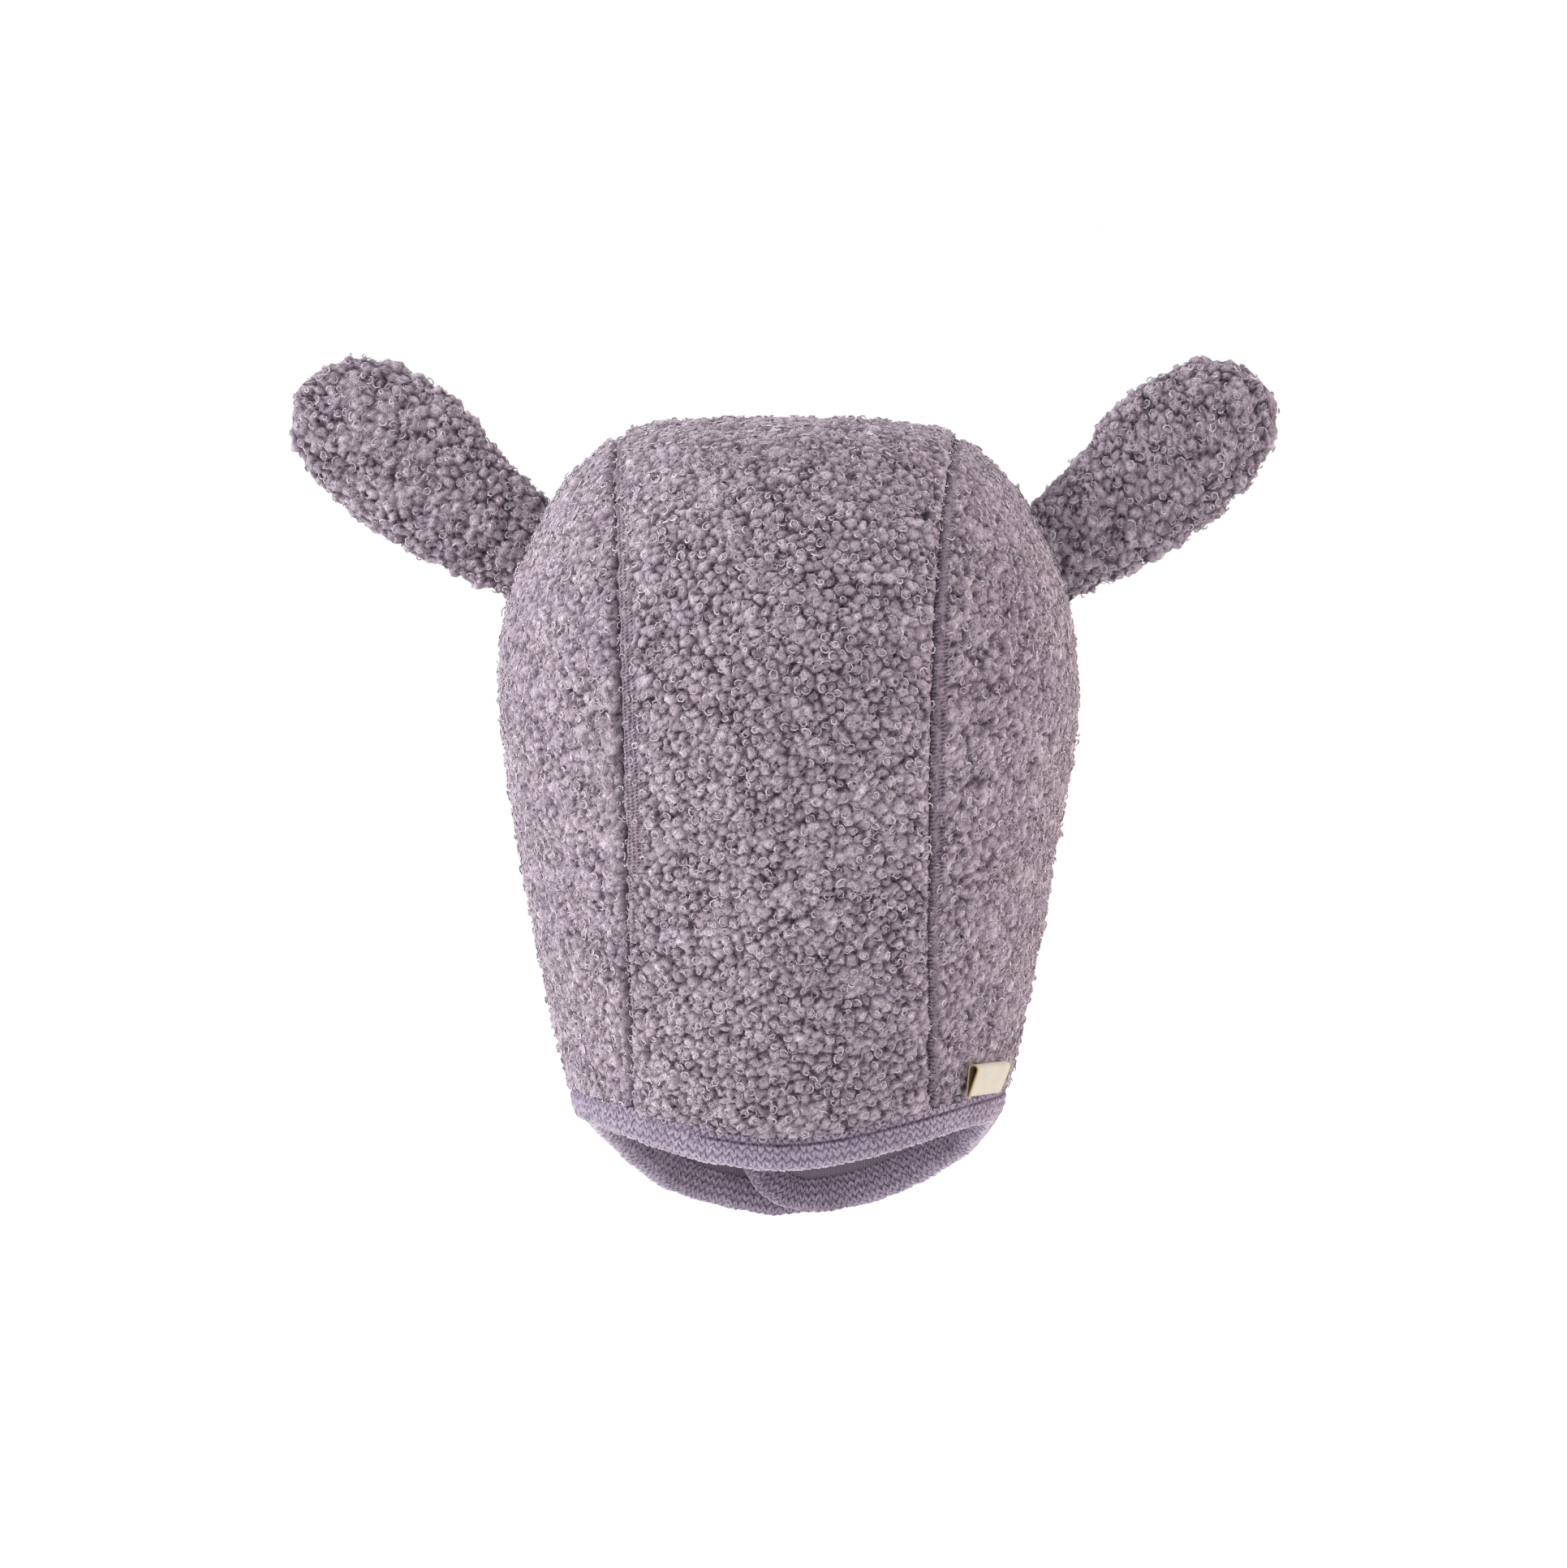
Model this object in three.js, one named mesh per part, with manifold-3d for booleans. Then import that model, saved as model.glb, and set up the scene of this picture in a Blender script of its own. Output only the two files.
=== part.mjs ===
// A baby's helmet hat in curly wool, with two ears at its sides.
// Three panels make the cap: a centre panel from the forehead over the crown to the nape, and two side
// panels, which run on under the chin as tabs that overlap. A jersey lining lies inside them. One knit
// binding edges the face opening, the tabs and the neck in a single loop. A folded tape stands in its seam.
//
// Millimetres, +Z up. The face looks along +Y, so the back of the hat is on the -Y side, and +X is on the
// right of someone who looks at the back. The origin is where the top of the head meets the lining.
// "angle" is measured round Z in degrees: 0 at the nape, 90 on the +X side, 180 at the face.
// "drop" is the height below the top of the outer cloth, and "depth" is measured inwards from its surface.
import * as THREE from "three";
import { mergeVertices } from "three/addons/utils/BufferGeometryUtils.js";
import Module from "manifold-3d";

const wasm = await Module();
wasm.setup();

// Cloth
const WOOL = 3.5;
const LINING = 1.0;
const CLEAR = 0.3; // between pieces that touch
const LINING_DEPTH = WOOL + CLEAR;
const WALL = LINING_DEPTH + LINING;
const CROWN_Z = WALL; // the top of the outer cloth, above the head

// The cap's form: a row for each level, with the half width and the reach to the back and to the front.
const LEVELS = [
  { drop: 0, half: 0, back: 0, front: 0 },
  { drop: 0.4, half: 22, back: 24, front: 24 },
  { drop: 1.7, half: 38, back: 42, front: 41 },
  { drop: 4.1, half: 46, back: 55, front: 53 },
  { drop: 8.2, half: 52, back: 65, front: 62 },
  { drop: 15.5, half: 59.2, back: 74, front: 70.5 },
  { drop: 26.5, half: 66, back: 81.3, front: 77 },
  { drop: 40.5, half: 72.3, back: 86.5, front: 81 },
  { drop: 56, half: 76, back: 89, front: 83 },
  { drop: 74, half: 76.8, back: 89.3, front: 83.5 },
  { drop: 94, half: 74.6, back: 87, front: 83 },
  { drop: 115, half: 71, back: 82, front: 81 },
  { drop: 137, half: 67.2, back: 76, front: 78 },
  { drop: 159, half: 62.8, back: 69.5, front: 73.5 },
  { drop: 180, half: 57.6, back: 63.5, front: 68 },
  { drop: 200, half: 53, back: 59, front: 63.5 },
  { drop: 224, half: 49.5, back: 56, front: 60 },
];
const SQUARENESS = 2.25; // 2 makes each level an ellipse
const RING_STEPS = 48;
const CROWN_RINGS = [1, 1.8, 2.5, 3.2]; // the first rings, by number; below them each level is a ring
const FAR = 130; // past the whole cap
const OVERLAP = 1; // of two prisms that join in the plane of the ears

// The centre panel's half width narrows from the crown to the nape. It stands a little proud of the sides.
const SEAM = { crown: 45.5, nape: 39, fade: 45, gap: 0.5, proud: 1.2 };
const SEAM_DROPS = { front: [-20, 0, 20, 45, 75, 110], lowerBack: [160, 235] };

// The face opening's outer edge
const FACE = { top: 62, bottom: 173, halfAngle: 40, roundness: 0.9, steps: 15 };

// The neck's edge: lowest at the nape behind and under the chin in front
const NECK = { side: 185, nape: 10, napePower: 4.5, chin: 31, chinPower: 1.5, steps: 22 };

// The chin tabs pass the middle and overlap, the -X one outside. Each end is half a circle.
const TAB = { pastMiddle: 18, outwards: 3.5, fullWithin: 26, noneBeyond: 62, from: 120, to: 160, steps: 9 };
const OUTER_TAB_LOWER = 1.5;

const BINDING = { width: 9, proud: 0.3, bulge: 0.5, round: 0.9 };
const ROOM_SIZE = { outside: 8, above: 3 }; // how far the binding's room reaches past it
const PATCH = { halfWidth: 6, top: 187.5, bottom: 201.5, corner: 3 };

// The ears: reach is measured along the ear from its root, as a share of its length.
const EAR_ROWS = [
  { reach: -0.14, upper: 13.5, lower: 14.5, thick: 6.5 },
  { reach: 0, upper: 13, lower: 14.8, thick: 6.5 },
  { reach: 0.17, upper: 13.8, lower: 17.3, thick: 7 },
  { reach: 0.32, upper: 16.2, lower: 19.5, thick: 7.6 },
  { reach: 0.47, upper: 19.4, lower: 20.2, thick: 8 },
  { reach: 0.61, upper: 20.5, lower: 20, thick: 8 },
  { reach: 0.73, upper: 19.4, lower: 18.9, thick: 7.8 },
  { reach: 0.84, upper: 16.6, lower: 16.2, thick: 7.2 },
  { reach: 0.93, upper: 12, lower: 11.7, thick: 6 },
  { reach: 0.985, upper: 5.8, lower: 5.6, thick: 3.8 },
];
const EARS = [
  { name: "ear_left", side: -1, length: 75.5, wide: 1, tilt: 35.3, rootX: 70, rootDrop: 31.8 },
  { name: "ear_right", side: 1, length: 72.5, wide: 0.97, tilt: 38, rootX: 70, rootDrop: 33.4 },
];
const EAR = { y: 1, cup: 4, sides: 12 }; // the cup is how far the tip leans towards the face

// The folded tape touches the cloth at an angle round the neck, a share of its length from its open end.
const LABEL = { angle: 58, touchAt: 0.35, above: 0.4, off: 0.35, length: 20, tall: 8.6, gape: 1.9 };
const TAPE = 0.45; // the label's own thickness

const COLOURS = { wool: 0x9c8f9c, knit: 0x93879a, lining: 0x7d7280, tape: 0xd9d4c4, patch: 0x8a8090 };
const cloth = (color, roughness) => new THREE.MeshStandardMaterial({ color, roughness, metalness: 0 });

const rad = THREE.MathUtils.degToRad;
const smooth = (value, low, high) => THREE.MathUtils.smoothstep(value, low, high);

// Solids to cut and join, with their points rounded so that what should meet does
function toSolid(geometry) {
  const bare = new THREE.BufferGeometry();
  const rounded = geometry.getAttribute("position").array.map((value) => Math.round(value * 1e4) / 1e4);
  bare.setAttribute("position", new THREE.BufferAttribute(rounded, 3));
  bare.setIndex(geometry.index);
  const merged = mergeVertices(bare, 1e-4);
  return new wasm.Manifold(
    new wasm.Mesh({
      numProp: 3,
      vertProperties: merged.attributes.position.array,
      triVerts: new Uint32Array(merged.index.array),
    }),
  );
}

function toGeometry(solid) {
  const made = solid.getMesh();
  const geometry = new THREE.BufferGeometry();
  geometry.setAttribute("position", new THREE.BufferAttribute(made.vertProperties, 3));
  geometry.setIndex(new THREE.BufferAttribute(made.triVerts, 1));
  geometry.computeVertexNormals();
  return geometry;
}

// A closed mesh from rings of equally many points, each anticlockwise for someone who looks along the rings
// from before the first. The poles are the middles of the two end caps; a loop has none.
function skin(rings, { loop = false, poles = [] } = {}) {
  const around = rings[0].length;
  const points = rings.flat();
  const faces = [];
  const bands = loop ? rings.length : rings.length - 1;
  for (let i = 0; i < bands; i++) {
    const near = i * around;
    const far = ((i + 1) % rings.length) * around;
    for (let j = 0; j < around; j++) {
      const next = (j + 1) % around;
      faces.push(near + j, far + j, far + next, near + j, far + next, near + next);
    }
  }
  const caps = loop ? [] : [0, rings.length - 1];
  caps.forEach((ring, i) => {
    const centre = points.push(poles[i] ?? middleOf(rings[ring])) - 1;
    for (let j = 0; j < around; j++) {
      const pair = [ring * around + j, ring * around + ((j + 1) % around)];
      faces.push(centre, ...(i === 0 ? pair : pair.reverse()));
    }
  });
  const geometry = new THREE.BufferGeometry().setFromPoints(points);
  geometry.setIndex(faces);
  return geometry;
}

function middleOf(ring) {
  const middle = new THREE.Vector3();
  for (const point of ring) middle.addScaledVector(point, 1 / ring.length);
  return middle;
}

// A prism with an outline in X and Z, from one Y to another
function prism(outline, fromY, toY) {
  const shape = new THREE.Shape(outline.map(([x, z]) => new THREE.Vector2(x, z)));
  const geometry = new THREE.ExtrudeGeometry(shape, { depth: toY - fromY, bevelEnabled: false });
  geometry.rotateX(Math.PI / 2).translate(0, toY, 0);
  return toSolid(geometry);
}

// The cap's form between its levels, by number, so that 2.5 lies halfway from row 2 to row 3
function levelAt(number) {
  const last = LEVELS.length - 1;
  const at = Math.min(Math.floor(number), last - 1);
  const part = number - at;
  const rows = [at - 1, at, at + 1, at + 2].map((i) => LEVELS[Math.min(Math.max(i, 0), last)]);
  const curve = (key) => {
    const [before, start, end, after] = rows.map((row) => row[key]);
    const leave = (end - before) / 2;
    const arrive = (after - start) / 2;
    const cubic = 2 * (start - end) + leave + arrive;
    const square = 3 * (end - start) - 2 * leave - arrive;
    return start + part * (leave + part * (square + part * cubic));
  };
  return { drop: curve("drop"), half: curve("half"), back: curve("back"), front: curve("front") };
}

function levelNumber(drop) {
  let low = 0;
  let high = LEVELS.length - 1;
  for (let i = 0; i < 40; i++) {
    const middle = (low + high) / 2;
    if (levelAt(middle).drop < drop) low = middle;
    else high = middle;
  }
  return low;
}

// How far the surface moves out or in for a side's chin tab
function tabShift(angle, drop, side) {
  const round = 1 - smooth(Math.abs(angle - 180), TAB.fullWithin, TAB.noneBeyond);
  return -side * TAB.outwards * round * smooth(drop, TAB.from, TAB.to);
}

// A point of the form, for the +X side (side 1) or the -X side (side -1). Angles past 180 cross the middle
// of the face.
function formPoint(angle, number, side) {
  const level = levelAt(number);
  const sin = Math.sin(rad(angle));
  const cos = Math.cos(rad(angle));
  const reach = cos > 0 ? level.back : level.front;
  const across = (Math.abs(sin) / level.half) ** SQUARENESS;
  const fore = (Math.abs(cos) / reach) ** SQUARENESS;
  const radius = (across + fore) ** (-1 / SQUARENESS) + tabShift(angle, level.drop, side);
  return new THREE.Vector3(side * radius * sin, -radius * cos, CROWN_Z - level.drop);
}

// The outward normal there
function formNormal(angle, number, side) {
  const step = 0.02;
  const low = Math.min(number + step, LEVELS.length - 1);
  const round = formPoint(angle + 0.5, number, side).sub(formPoint(angle - 0.5, number, side));
  const down = formPoint(angle, low, side).sub(formPoint(angle, number - step, side));
  return down.cross(round).multiplyScalar(side).normalize();
}

const surface = (angle, number, side, depth) =>
  formPoint(angle, number, side).addScaledVector(formNormal(angle, number, side), -depth);

// All that lies inside the form at a depth
function formSolid(depth, side) {
  const numbers = [...CROWN_RINGS];
  for (let n = Math.ceil(numbers.at(-1)); n < LEVELS.length; n++) numbers.push(n);
  const rings = numbers.map((number) => {
    const ring = [];
    for (let i = 0; i < RING_STEPS; i++) {
      const angle = (i * 360) / RING_STEPS;
      ring.push(surface(side > 0 ? angle : 360 - angle, number, side, depth));
    }
    return ring;
  });
  return toSolid(skin(rings, { poles: [new THREE.Vector3(0, 0, CROWN_Z - depth)] }));
}

// A wall that follows the form
const shell = (side, depth, thick) => formSolid(depth, side).subtract(formSolid(depth + thick, side));

// The height of the neck's edge
function neckDrop(angle) {
  const cos = Math.cos(rad(angle));
  return NECK.side + (cos > 0 ? NECK.nape * cos ** NECK.napePower : NECK.chin * (-cos) ** NECK.chinPower);
}

// The hat's edge on one side, from the middle of the forehead by the cheek, the tab and the neck to the nape
function halfEdge(side) {
  const edge = [];
  const add = (angle, drop) => edge.push({ angle, number: levelNumber(drop), side });
  const lower = side < 0 ? OUTER_TAB_LOWER : 0;
  const radius = (neckDrop(180) + lower - FACE.bottom) / 2;
  const chin = formPoint(180, levelNumber(FACE.bottom + radius), side).y;
  const degrees = (length) => THREE.MathUtils.radToDeg(length / chin);
  const endAngle = 180 + degrees(TAB.pastMiddle - radius);
  const middle = (FACE.top + FACE.bottom) / 2;
  for (let i = 0; i < FACE.steps; i++) {
    const turn = rad(-90 + (180 * i) / FACE.steps);
    const aside = FACE.halfAngle * Math.abs(Math.cos(turn)) ** FACE.roundness;
    add(180 - aside, middle + (middle - FACE.top) * Math.sin(turn));
  }
  for (let i = 0; i <= TAB.steps; i++) {
    const turn = rad(90 - (180 * i) / TAB.steps);
    add(endAngle + degrees(radius * Math.cos(turn)), FACE.bottom + radius * (1 - Math.sin(turn)));
  }
  for (let i = 1; i <= NECK.steps; i++) {
    const angle = endAngle * (1 - i / NECK.steps);
    add(angle, neckDrop(angle) + lower * smooth(angle, 90, 150));
  }
  return edge;
}

// The whole edge as one loop. Each place has its point, the normal out of the cloth and the way into it.
function wholeEdge() {
  const loop = [...halfEdge(1), ...halfEdge(-1).reverse().slice(1, -1)];
  const points = loop.map(({ angle, number, side }) => formPoint(angle, number, side));
  return loop.map(({ angle, number, side }, i) => {
    const along = points[(i + 1) % loop.length].clone().sub(points.at(i - 1));
    const out = formNormal(angle, number, side);
    return { point: points[i], out, into: along.cross(out).normalize() };
  });
}

const EDGE = wholeEdge();
const NAPE = halfEdge(1).length - 1;

const inset = ({ point, out, into }, width, depth) =>
  point.clone().addScaledVector(into, width).addScaledVector(out, -depth);

// A band of one section, of [width into the cloth, depth] pairs, along places of the edge
const band = (places, section, loop) =>
  skin(places.map((place) => section.map(([width, depth]) => inset(place, width, depth))), { loop });

// The binding's own room, cleared a little, which is cut from the cloth of one side
function bindingRoom(side) {
  const past = 2;
  const [from, to] = side > 0 ? [-past, NAPE + past] : [NAPE - past, EDGE.length + past];
  const places = [];
  for (let i = from; i <= to; i++) places.push(EDGE.at(i % EDGE.length));
  const inner = BINDING.width + CLEAR;
  const { outside, above } = ROOM_SIZE;
  const under = WALL + above;
  return toSolid(band(places, [[inner, -above], [-outside, -above], [-outside, under], [inner, under]]));
}

// The space on one side that its cloth fills, up to the middle of the binding
function clothSpace(side) {
  const half = side > 0 ? EDGE.slice(0, NAPE + 1) : [EDGE[0], ...EDGE.slice(NAPE).reverse()];
  const line = half.map((place) => inset(place, BINDING.width / 2, WALL / 2));
  const turn = line.findIndex((point, i) => i > FACE.steps + TAB.steps && point.y < 0);
  const outline = line.map((point) => [point.x, point.z]);
  outline[0][0] = 0;
  outline[outline.length - 1][0] = 0;
  const sideZ = (line[turn - 1].z + line[turn].z) / 2;
  const [low, high] = [[side * FAR, sideZ], [side * FAR, FAR]];
  const front = prism([[0, FAR], ...outline.slice(0, turn), low, high], -OVERLAP, FAR);
  const back = prism([high, low, ...outline.slice(turn), [0, FAR]], -FAR, 0);
  return front.add(back);
}

const ROOM = { [-1]: bindingRoom(-1), 1: bindingRoom(1) };
const SPACE = { [-1]: clothSpace(-1), 1: clothSpace(1) };

// The centre panel's space: all the way down the back, and down to the forehead in front
function seamSpace(grow) {
  const { crown, nape, fade } = SEAM;
  const half = (drop) => nape + (crown - nape) * Math.exp(-Math.max(drop, 0) / fade) + grow;
  const outline = (drops) => {
    const right = drops.map((drop) => [half(drop), CROWN_Z - drop]);
    return [...right, ...right.map(([x, z]) => [-x, z]).reverse()];
  };
  const front = prism(outline(SEAM_DROPS.front), -OVERLAP, FAR);
  return prism(outline([...SEAM_DROPS.front, ...SEAM_DROPS.lowerBack]), -FAR, 0).add(front);
}

function centrePanel() {
  const wall = shell(1, -SEAM.proud, WOOL + SEAM.proud).intersect(seamSpace(-SEAM.gap / 2));
  return toGeometry(wall.intersect(SPACE[1].add(SPACE[-1])).subtract(ROOM[1]).subtract(ROOM[-1]));
}

function sidePanel(side) {
  const wall = shell(side, 0, WOOL).intersect(SPACE[side]);
  return toGeometry(wall.subtract(ROOM[side]).subtract(seamSpace(SEAM.gap / 2)));
}

function lining() {
  const half = (side) => shell(side, LINING_DEPTH, LINING).intersect(SPACE[side]).subtract(ROOM[side]);
  return toGeometry(half(1).add(half(-1)));
}

// The knit binding has a round edge and swells a little on both faces.
function binding() {
  const { width, proud, bulge, round } = BINDING;
  const under = WALL + proud;
  const section = [
    [width, -proud],
    [width / 2, -proud - bulge],
    [round, -proud],
    [0, under * 0.3],
    [0, under * 0.7],
    [round, under],
    [width / 2, under + bulge],
    [width, under],
  ];
  return band(EDGE, section, true);
}

// A plain hook-and-loop patch between the two tabs
function tabFastener() {
  const { halfWidth, top, bottom, corner } = PATCH;
  const outline = [
    [-halfWidth, top + corner],
    [-halfWidth + corner, top],
    [halfWidth - corner, top],
    [halfWidth, top + corner],
    [halfWidth, bottom - corner],
    [halfWidth - corner, bottom],
    [-halfWidth + corner, bottom],
    [-halfWidth, bottom - corner],
  ].map(([x, drop]) => [x, CROWN_Z - drop]);
  const thick = 2 * TAB.outwards - WALL - 2 * CLEAR;
  return toGeometry(shell(-1, WALL + CLEAR, thick).intersect(prism(outline, 0, FAR)));
}

// A padded ear: lens-shaped sections along a tilted line, cut to the cap
function ear({ side, length, wide, tilt, rootX, rootDrop }) {
  const along = new THREE.Vector3(side * Math.cos(rad(tilt)), 0, Math.sin(rad(tilt)));
  const up = new THREE.Vector3(-side * Math.sin(rad(tilt)), 0, Math.cos(rad(tilt)));
  const root = new THREE.Vector3(side * rootX, EAR.y, CROWN_Z - rootDrop);
  const place = (reach, height, thick) => {
    const point = root.clone().addScaledVector(along, reach * length).addScaledVector(up, height);
    return point.setY(point.y + EAR.cup * reach * Math.abs(reach) + thick);
  };
  const rings = EAR_ROWS.map(({ reach, upper, lower, thick }) => {
    const ring = [];
    for (let i = 0; i < EAR.sides; i++) {
      const turn = (side * i * 2 * Math.PI) / EAR.sides;
      const height = wide * Math.cos(turn) * (Math.cos(turn) > 0 ? upper : lower);
      ring.push(place(reach, height, (thick / 2) * Math.sin(turn)));
    }
    return ring;
  });
  const solid = toSolid(skin(rings, { poles: [middleOf(rings[0]), place(1, 0, 0)] }));
  return toGeometry(solid.subtract(formSolid(-CLEAR, side)));
}

// A tape folded over at the top, with its ends above the binding. It stands straight off the curved cloth.
function labelLoop() {
  const { tall, gape, length } = LABEL;
  const half = gape / 2 + TAPE;
  const outer = new THREE.Shape();
  outer.moveTo(-TAPE, 0);
  outer.lineTo(TAPE, 0);
  outer.lineTo(half, tall - half);
  outer.absarc(0, tall - half, half, 0, Math.PI);
  outer.lineTo(-TAPE, 0);
  const joined = 2 * TAPE; // the height up to which the two ends lie together
  const hollow = new THREE.Path();
  hollow.moveTo(0, joined);
  hollow.lineTo(-gape / 2, tall - half);
  hollow.absarc(0, tall - half, gape / 2, Math.PI, 0, true);
  hollow.lineTo(0, joined);
  outer.holes.push(hollow);
  const geometry = new THREE.ExtrudeGeometry(outer, { depth: length, bevelEnabled: false, curveSegments: 5 });
  geometry.translate(0, 0, -length * LABEL.touchAt);
  const foot = labelFoot();
  const along = new THREE.Vector3(0, 0, 1).cross(foot.out).normalize();
  const up = foot.out.clone().cross(along);
  geometry.applyMatrix4(new THREE.Matrix4().makeBasis(foot.out, up, along.negate()));
  geometry.translate(foot.point.x, foot.point.y, foot.point.z);
  return toGeometry(toSolid(geometry));
}

function labelFoot() {
  const drop = neckDrop(LABEL.angle) - BINDING.width - LABEL.above;
  const number = levelNumber(drop);
  const out = formNormal(LABEL.angle, number, 1);
  const stand = LABEL.gape / 2 + TAPE + LABEL.off;
  return { point: formPoint(LABEL.angle, number, 1).addScaledVector(out, stand), out };
}

const group = new THREE.Group();

function addMesh(name, geometry, material) {
  const mesh = new THREE.Mesh(geometry, material);
  mesh.name = name;
  group.add(mesh);
}

addMesh("centre_panel", centrePanel(), cloth(COLOURS.wool, 0.95));
addMesh("side_panel_left", sidePanel(-1), cloth(COLOURS.wool, 0.95));
addMesh("side_panel_right", sidePanel(1), cloth(COLOURS.wool, 0.95));
for (const row of EARS) addMesh(row.name, ear(row), cloth(COLOURS.wool, 0.95));
addMesh("lining", lining(), cloth(COLOURS.lining, 0.9));
addMesh("edge_binding", binding(), cloth(COLOURS.knit, 0.85));
addMesh("label_loop", labelLoop(), cloth(COLOURS.tape, 0.7));
addMesh("tab_fastener", tabFastener(), cloth(COLOURS.patch, 0.8));

export default group;
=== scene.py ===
"""Looks for a baby hat of curly wool with two padded ears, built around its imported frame.

Sizes are in millimetres until a mesh is made. Angles are in degrees round the upright axis of the hat:
0 at the nape, 90 at the side, 180 at the face. Drops are measured down from the top of the outer cloth,
and depths inwards from the outer surface. Side 1 is the right half as the nape is seen, and side -1 the left.
"""

import math

import bpy
import numpy as np
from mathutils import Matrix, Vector, kdtree


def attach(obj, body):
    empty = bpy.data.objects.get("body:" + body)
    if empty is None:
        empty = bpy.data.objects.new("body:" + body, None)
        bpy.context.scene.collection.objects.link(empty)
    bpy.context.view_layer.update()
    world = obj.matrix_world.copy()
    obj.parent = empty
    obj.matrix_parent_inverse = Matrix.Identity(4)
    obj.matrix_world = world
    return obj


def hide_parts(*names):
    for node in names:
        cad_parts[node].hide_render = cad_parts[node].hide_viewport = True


MM = 0.001
TURN = 2 * math.pi
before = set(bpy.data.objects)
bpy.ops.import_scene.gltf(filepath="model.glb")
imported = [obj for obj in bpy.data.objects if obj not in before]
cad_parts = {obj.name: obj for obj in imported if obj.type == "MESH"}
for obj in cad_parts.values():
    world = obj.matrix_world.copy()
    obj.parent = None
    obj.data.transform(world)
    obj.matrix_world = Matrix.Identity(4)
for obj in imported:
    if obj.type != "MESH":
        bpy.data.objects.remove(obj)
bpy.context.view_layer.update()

# The hat's form, from the same sizes as the solids

WOOL = 3.5
LINING = 1.0
CLEAR = 0.3
LINING_DEPTH = WOOL + CLEAR
WALL = LINING_DEPTH + LINING
CROWN_Z = WALL

# drop, half width, reach to the back, reach to the front
LEVELS = np.array([
    (0, 0, 0, 0),
    (0.4, 22, 24, 24),
    (1.7, 38, 42, 41),
    (4.1, 46, 55, 53),
    (8.2, 52, 65, 62),
    (15.5, 59.2, 74, 70.5),
    (26.5, 66, 81.3, 77),
    (40.5, 72.3, 86.5, 81),
    (56, 76, 89, 83),
    (74, 76.8, 89.3, 83.5),
    (94, 74.6, 87, 83),
    (115, 71, 82, 81),
    (137, 67.2, 76, 78),
    (159, 62.8, 69.5, 73.5),
    (180, 57.6, 63.5, 68),
    (200, 53, 59, 63.5),
    (224, 49.5, 56, 60),
])
SQUARENESS = 2.25
SEAM = {"crown": 45.5, "nape": 39, "fade": 45}
FACE = {"top": 62, "bottom": 173, "half_angle": 40, "roundness": 0.9}
NECK = {"side": 185, "nape": 10, "nape_power": 4.5, "chin": 31, "chin_power": 1.5}
TAB = {"past_middle": 18, "outwards": 3.5, "full_within": 26, "none_beyond": 62, "from": 120, "to": 160}
OUTER_TAB_LOWER = 1.5
BINDING_WIDTH = 9

# reach along the ear as a share of its length, half height above and below its middle, thickness
EAR_ROWS = np.array([
    (-0.14, 13.5, 14.5, 6.5),
    (0, 13, 14.8, 6.5),
    (0.17, 13.8, 17.3, 7),
    (0.32, 16.2, 19.5, 7.6),
    (0.47, 19.4, 20.2, 8),
    (0.61, 20.5, 20, 8),
    (0.73, 19.4, 18.9, 7.8),
    (0.84, 16.6, 16.2, 7.2),
    (0.93, 12, 11.7, 6),
    (0.985, 5.8, 5.6, 3.8),
    (1.0, 0, 0, 0),
])
EARS = {
    "ear_left": {"side": -1, "length": 75.5, "wide": 1, "tilt": 35.3, "root_x": 70, "root_drop": 31.8},
    "ear_right": {"side": 1, "length": 72.5, "wide": 0.97, "tilt": 38, "root_x": 70, "root_drop": 33.4},
}
EAR_Y = 1
EAR_CUP = 4
LABEL = {"angle": 58, "touch_at": 0.35, "above": 0.4, "off": 0.35, "length": 20, "tall": 8.6, "gape": 1.9}
TAPE = 0.45


def smooth(value, low, high):
    share = np.clip((value - low) / (high - low), 0, 1)
    return share * share * (3 - 2 * share)


def level_at(number):
    """The rows of LEVELS joined by a smooth curve, at numbers that needn't be whole."""
    last = len(LEVELS) - 1
    at = np.clip(np.floor(number).astype(int), 0, last - 1)
    part = (number - at)[..., None]
    before, start, end, after = (LEVELS[np.clip(at + k, 0, last)] for k in (-1, 0, 1, 2))
    leave = (end - before) / 2
    arrive = (after - start) / 2
    cubic = 2 * (start - end) + leave + arrive
    square = 3 * (end - start) - 2 * leave - arrive
    return start + part * (leave + part * (square + part * cubic))


FINE_NUMBERS = np.linspace(0, len(LEVELS) - 1, 8001)
FINE_LEVELS = level_at(FINE_NUMBERS)


def level_number(drop):
    return np.interp(drop, FINE_LEVELS[:, 0], FINE_NUMBERS)


def form_point(angle, number, side=1):
    """A point of the outer surface."""
    level = level_at(number)
    sin, cos = np.sin(np.radians(angle)), np.cos(np.radians(angle))
    drop, half = level[..., 0], level[..., 1]
    reach = np.where(cos > 0, level[..., 2], level[..., 3])
    safe_half, safe_reach = np.maximum(half, 1e-6), np.maximum(reach, 1e-6)
    inverse = (np.abs(sin) / safe_half) ** SQUARENESS + (np.abs(cos) / safe_reach) ** SQUARENESS
    at_front = 1 - smooth(np.abs(angle - 180), TAB["full_within"], TAB["none_beyond"])
    shift = -side * TAB["outwards"] * at_front * smooth(drop, TAB["from"], TAB["to"])
    radius = inverse ** (-1 / SQUARENESS) + shift
    return np.stack([side * radius * sin, -radius * cos, CROWN_Z - drop], -1)


def unit(vectors):
    return vectors / np.maximum(np.linalg.norm(vectors, axis=-1, keepdims=True), 1e-9)


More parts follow.
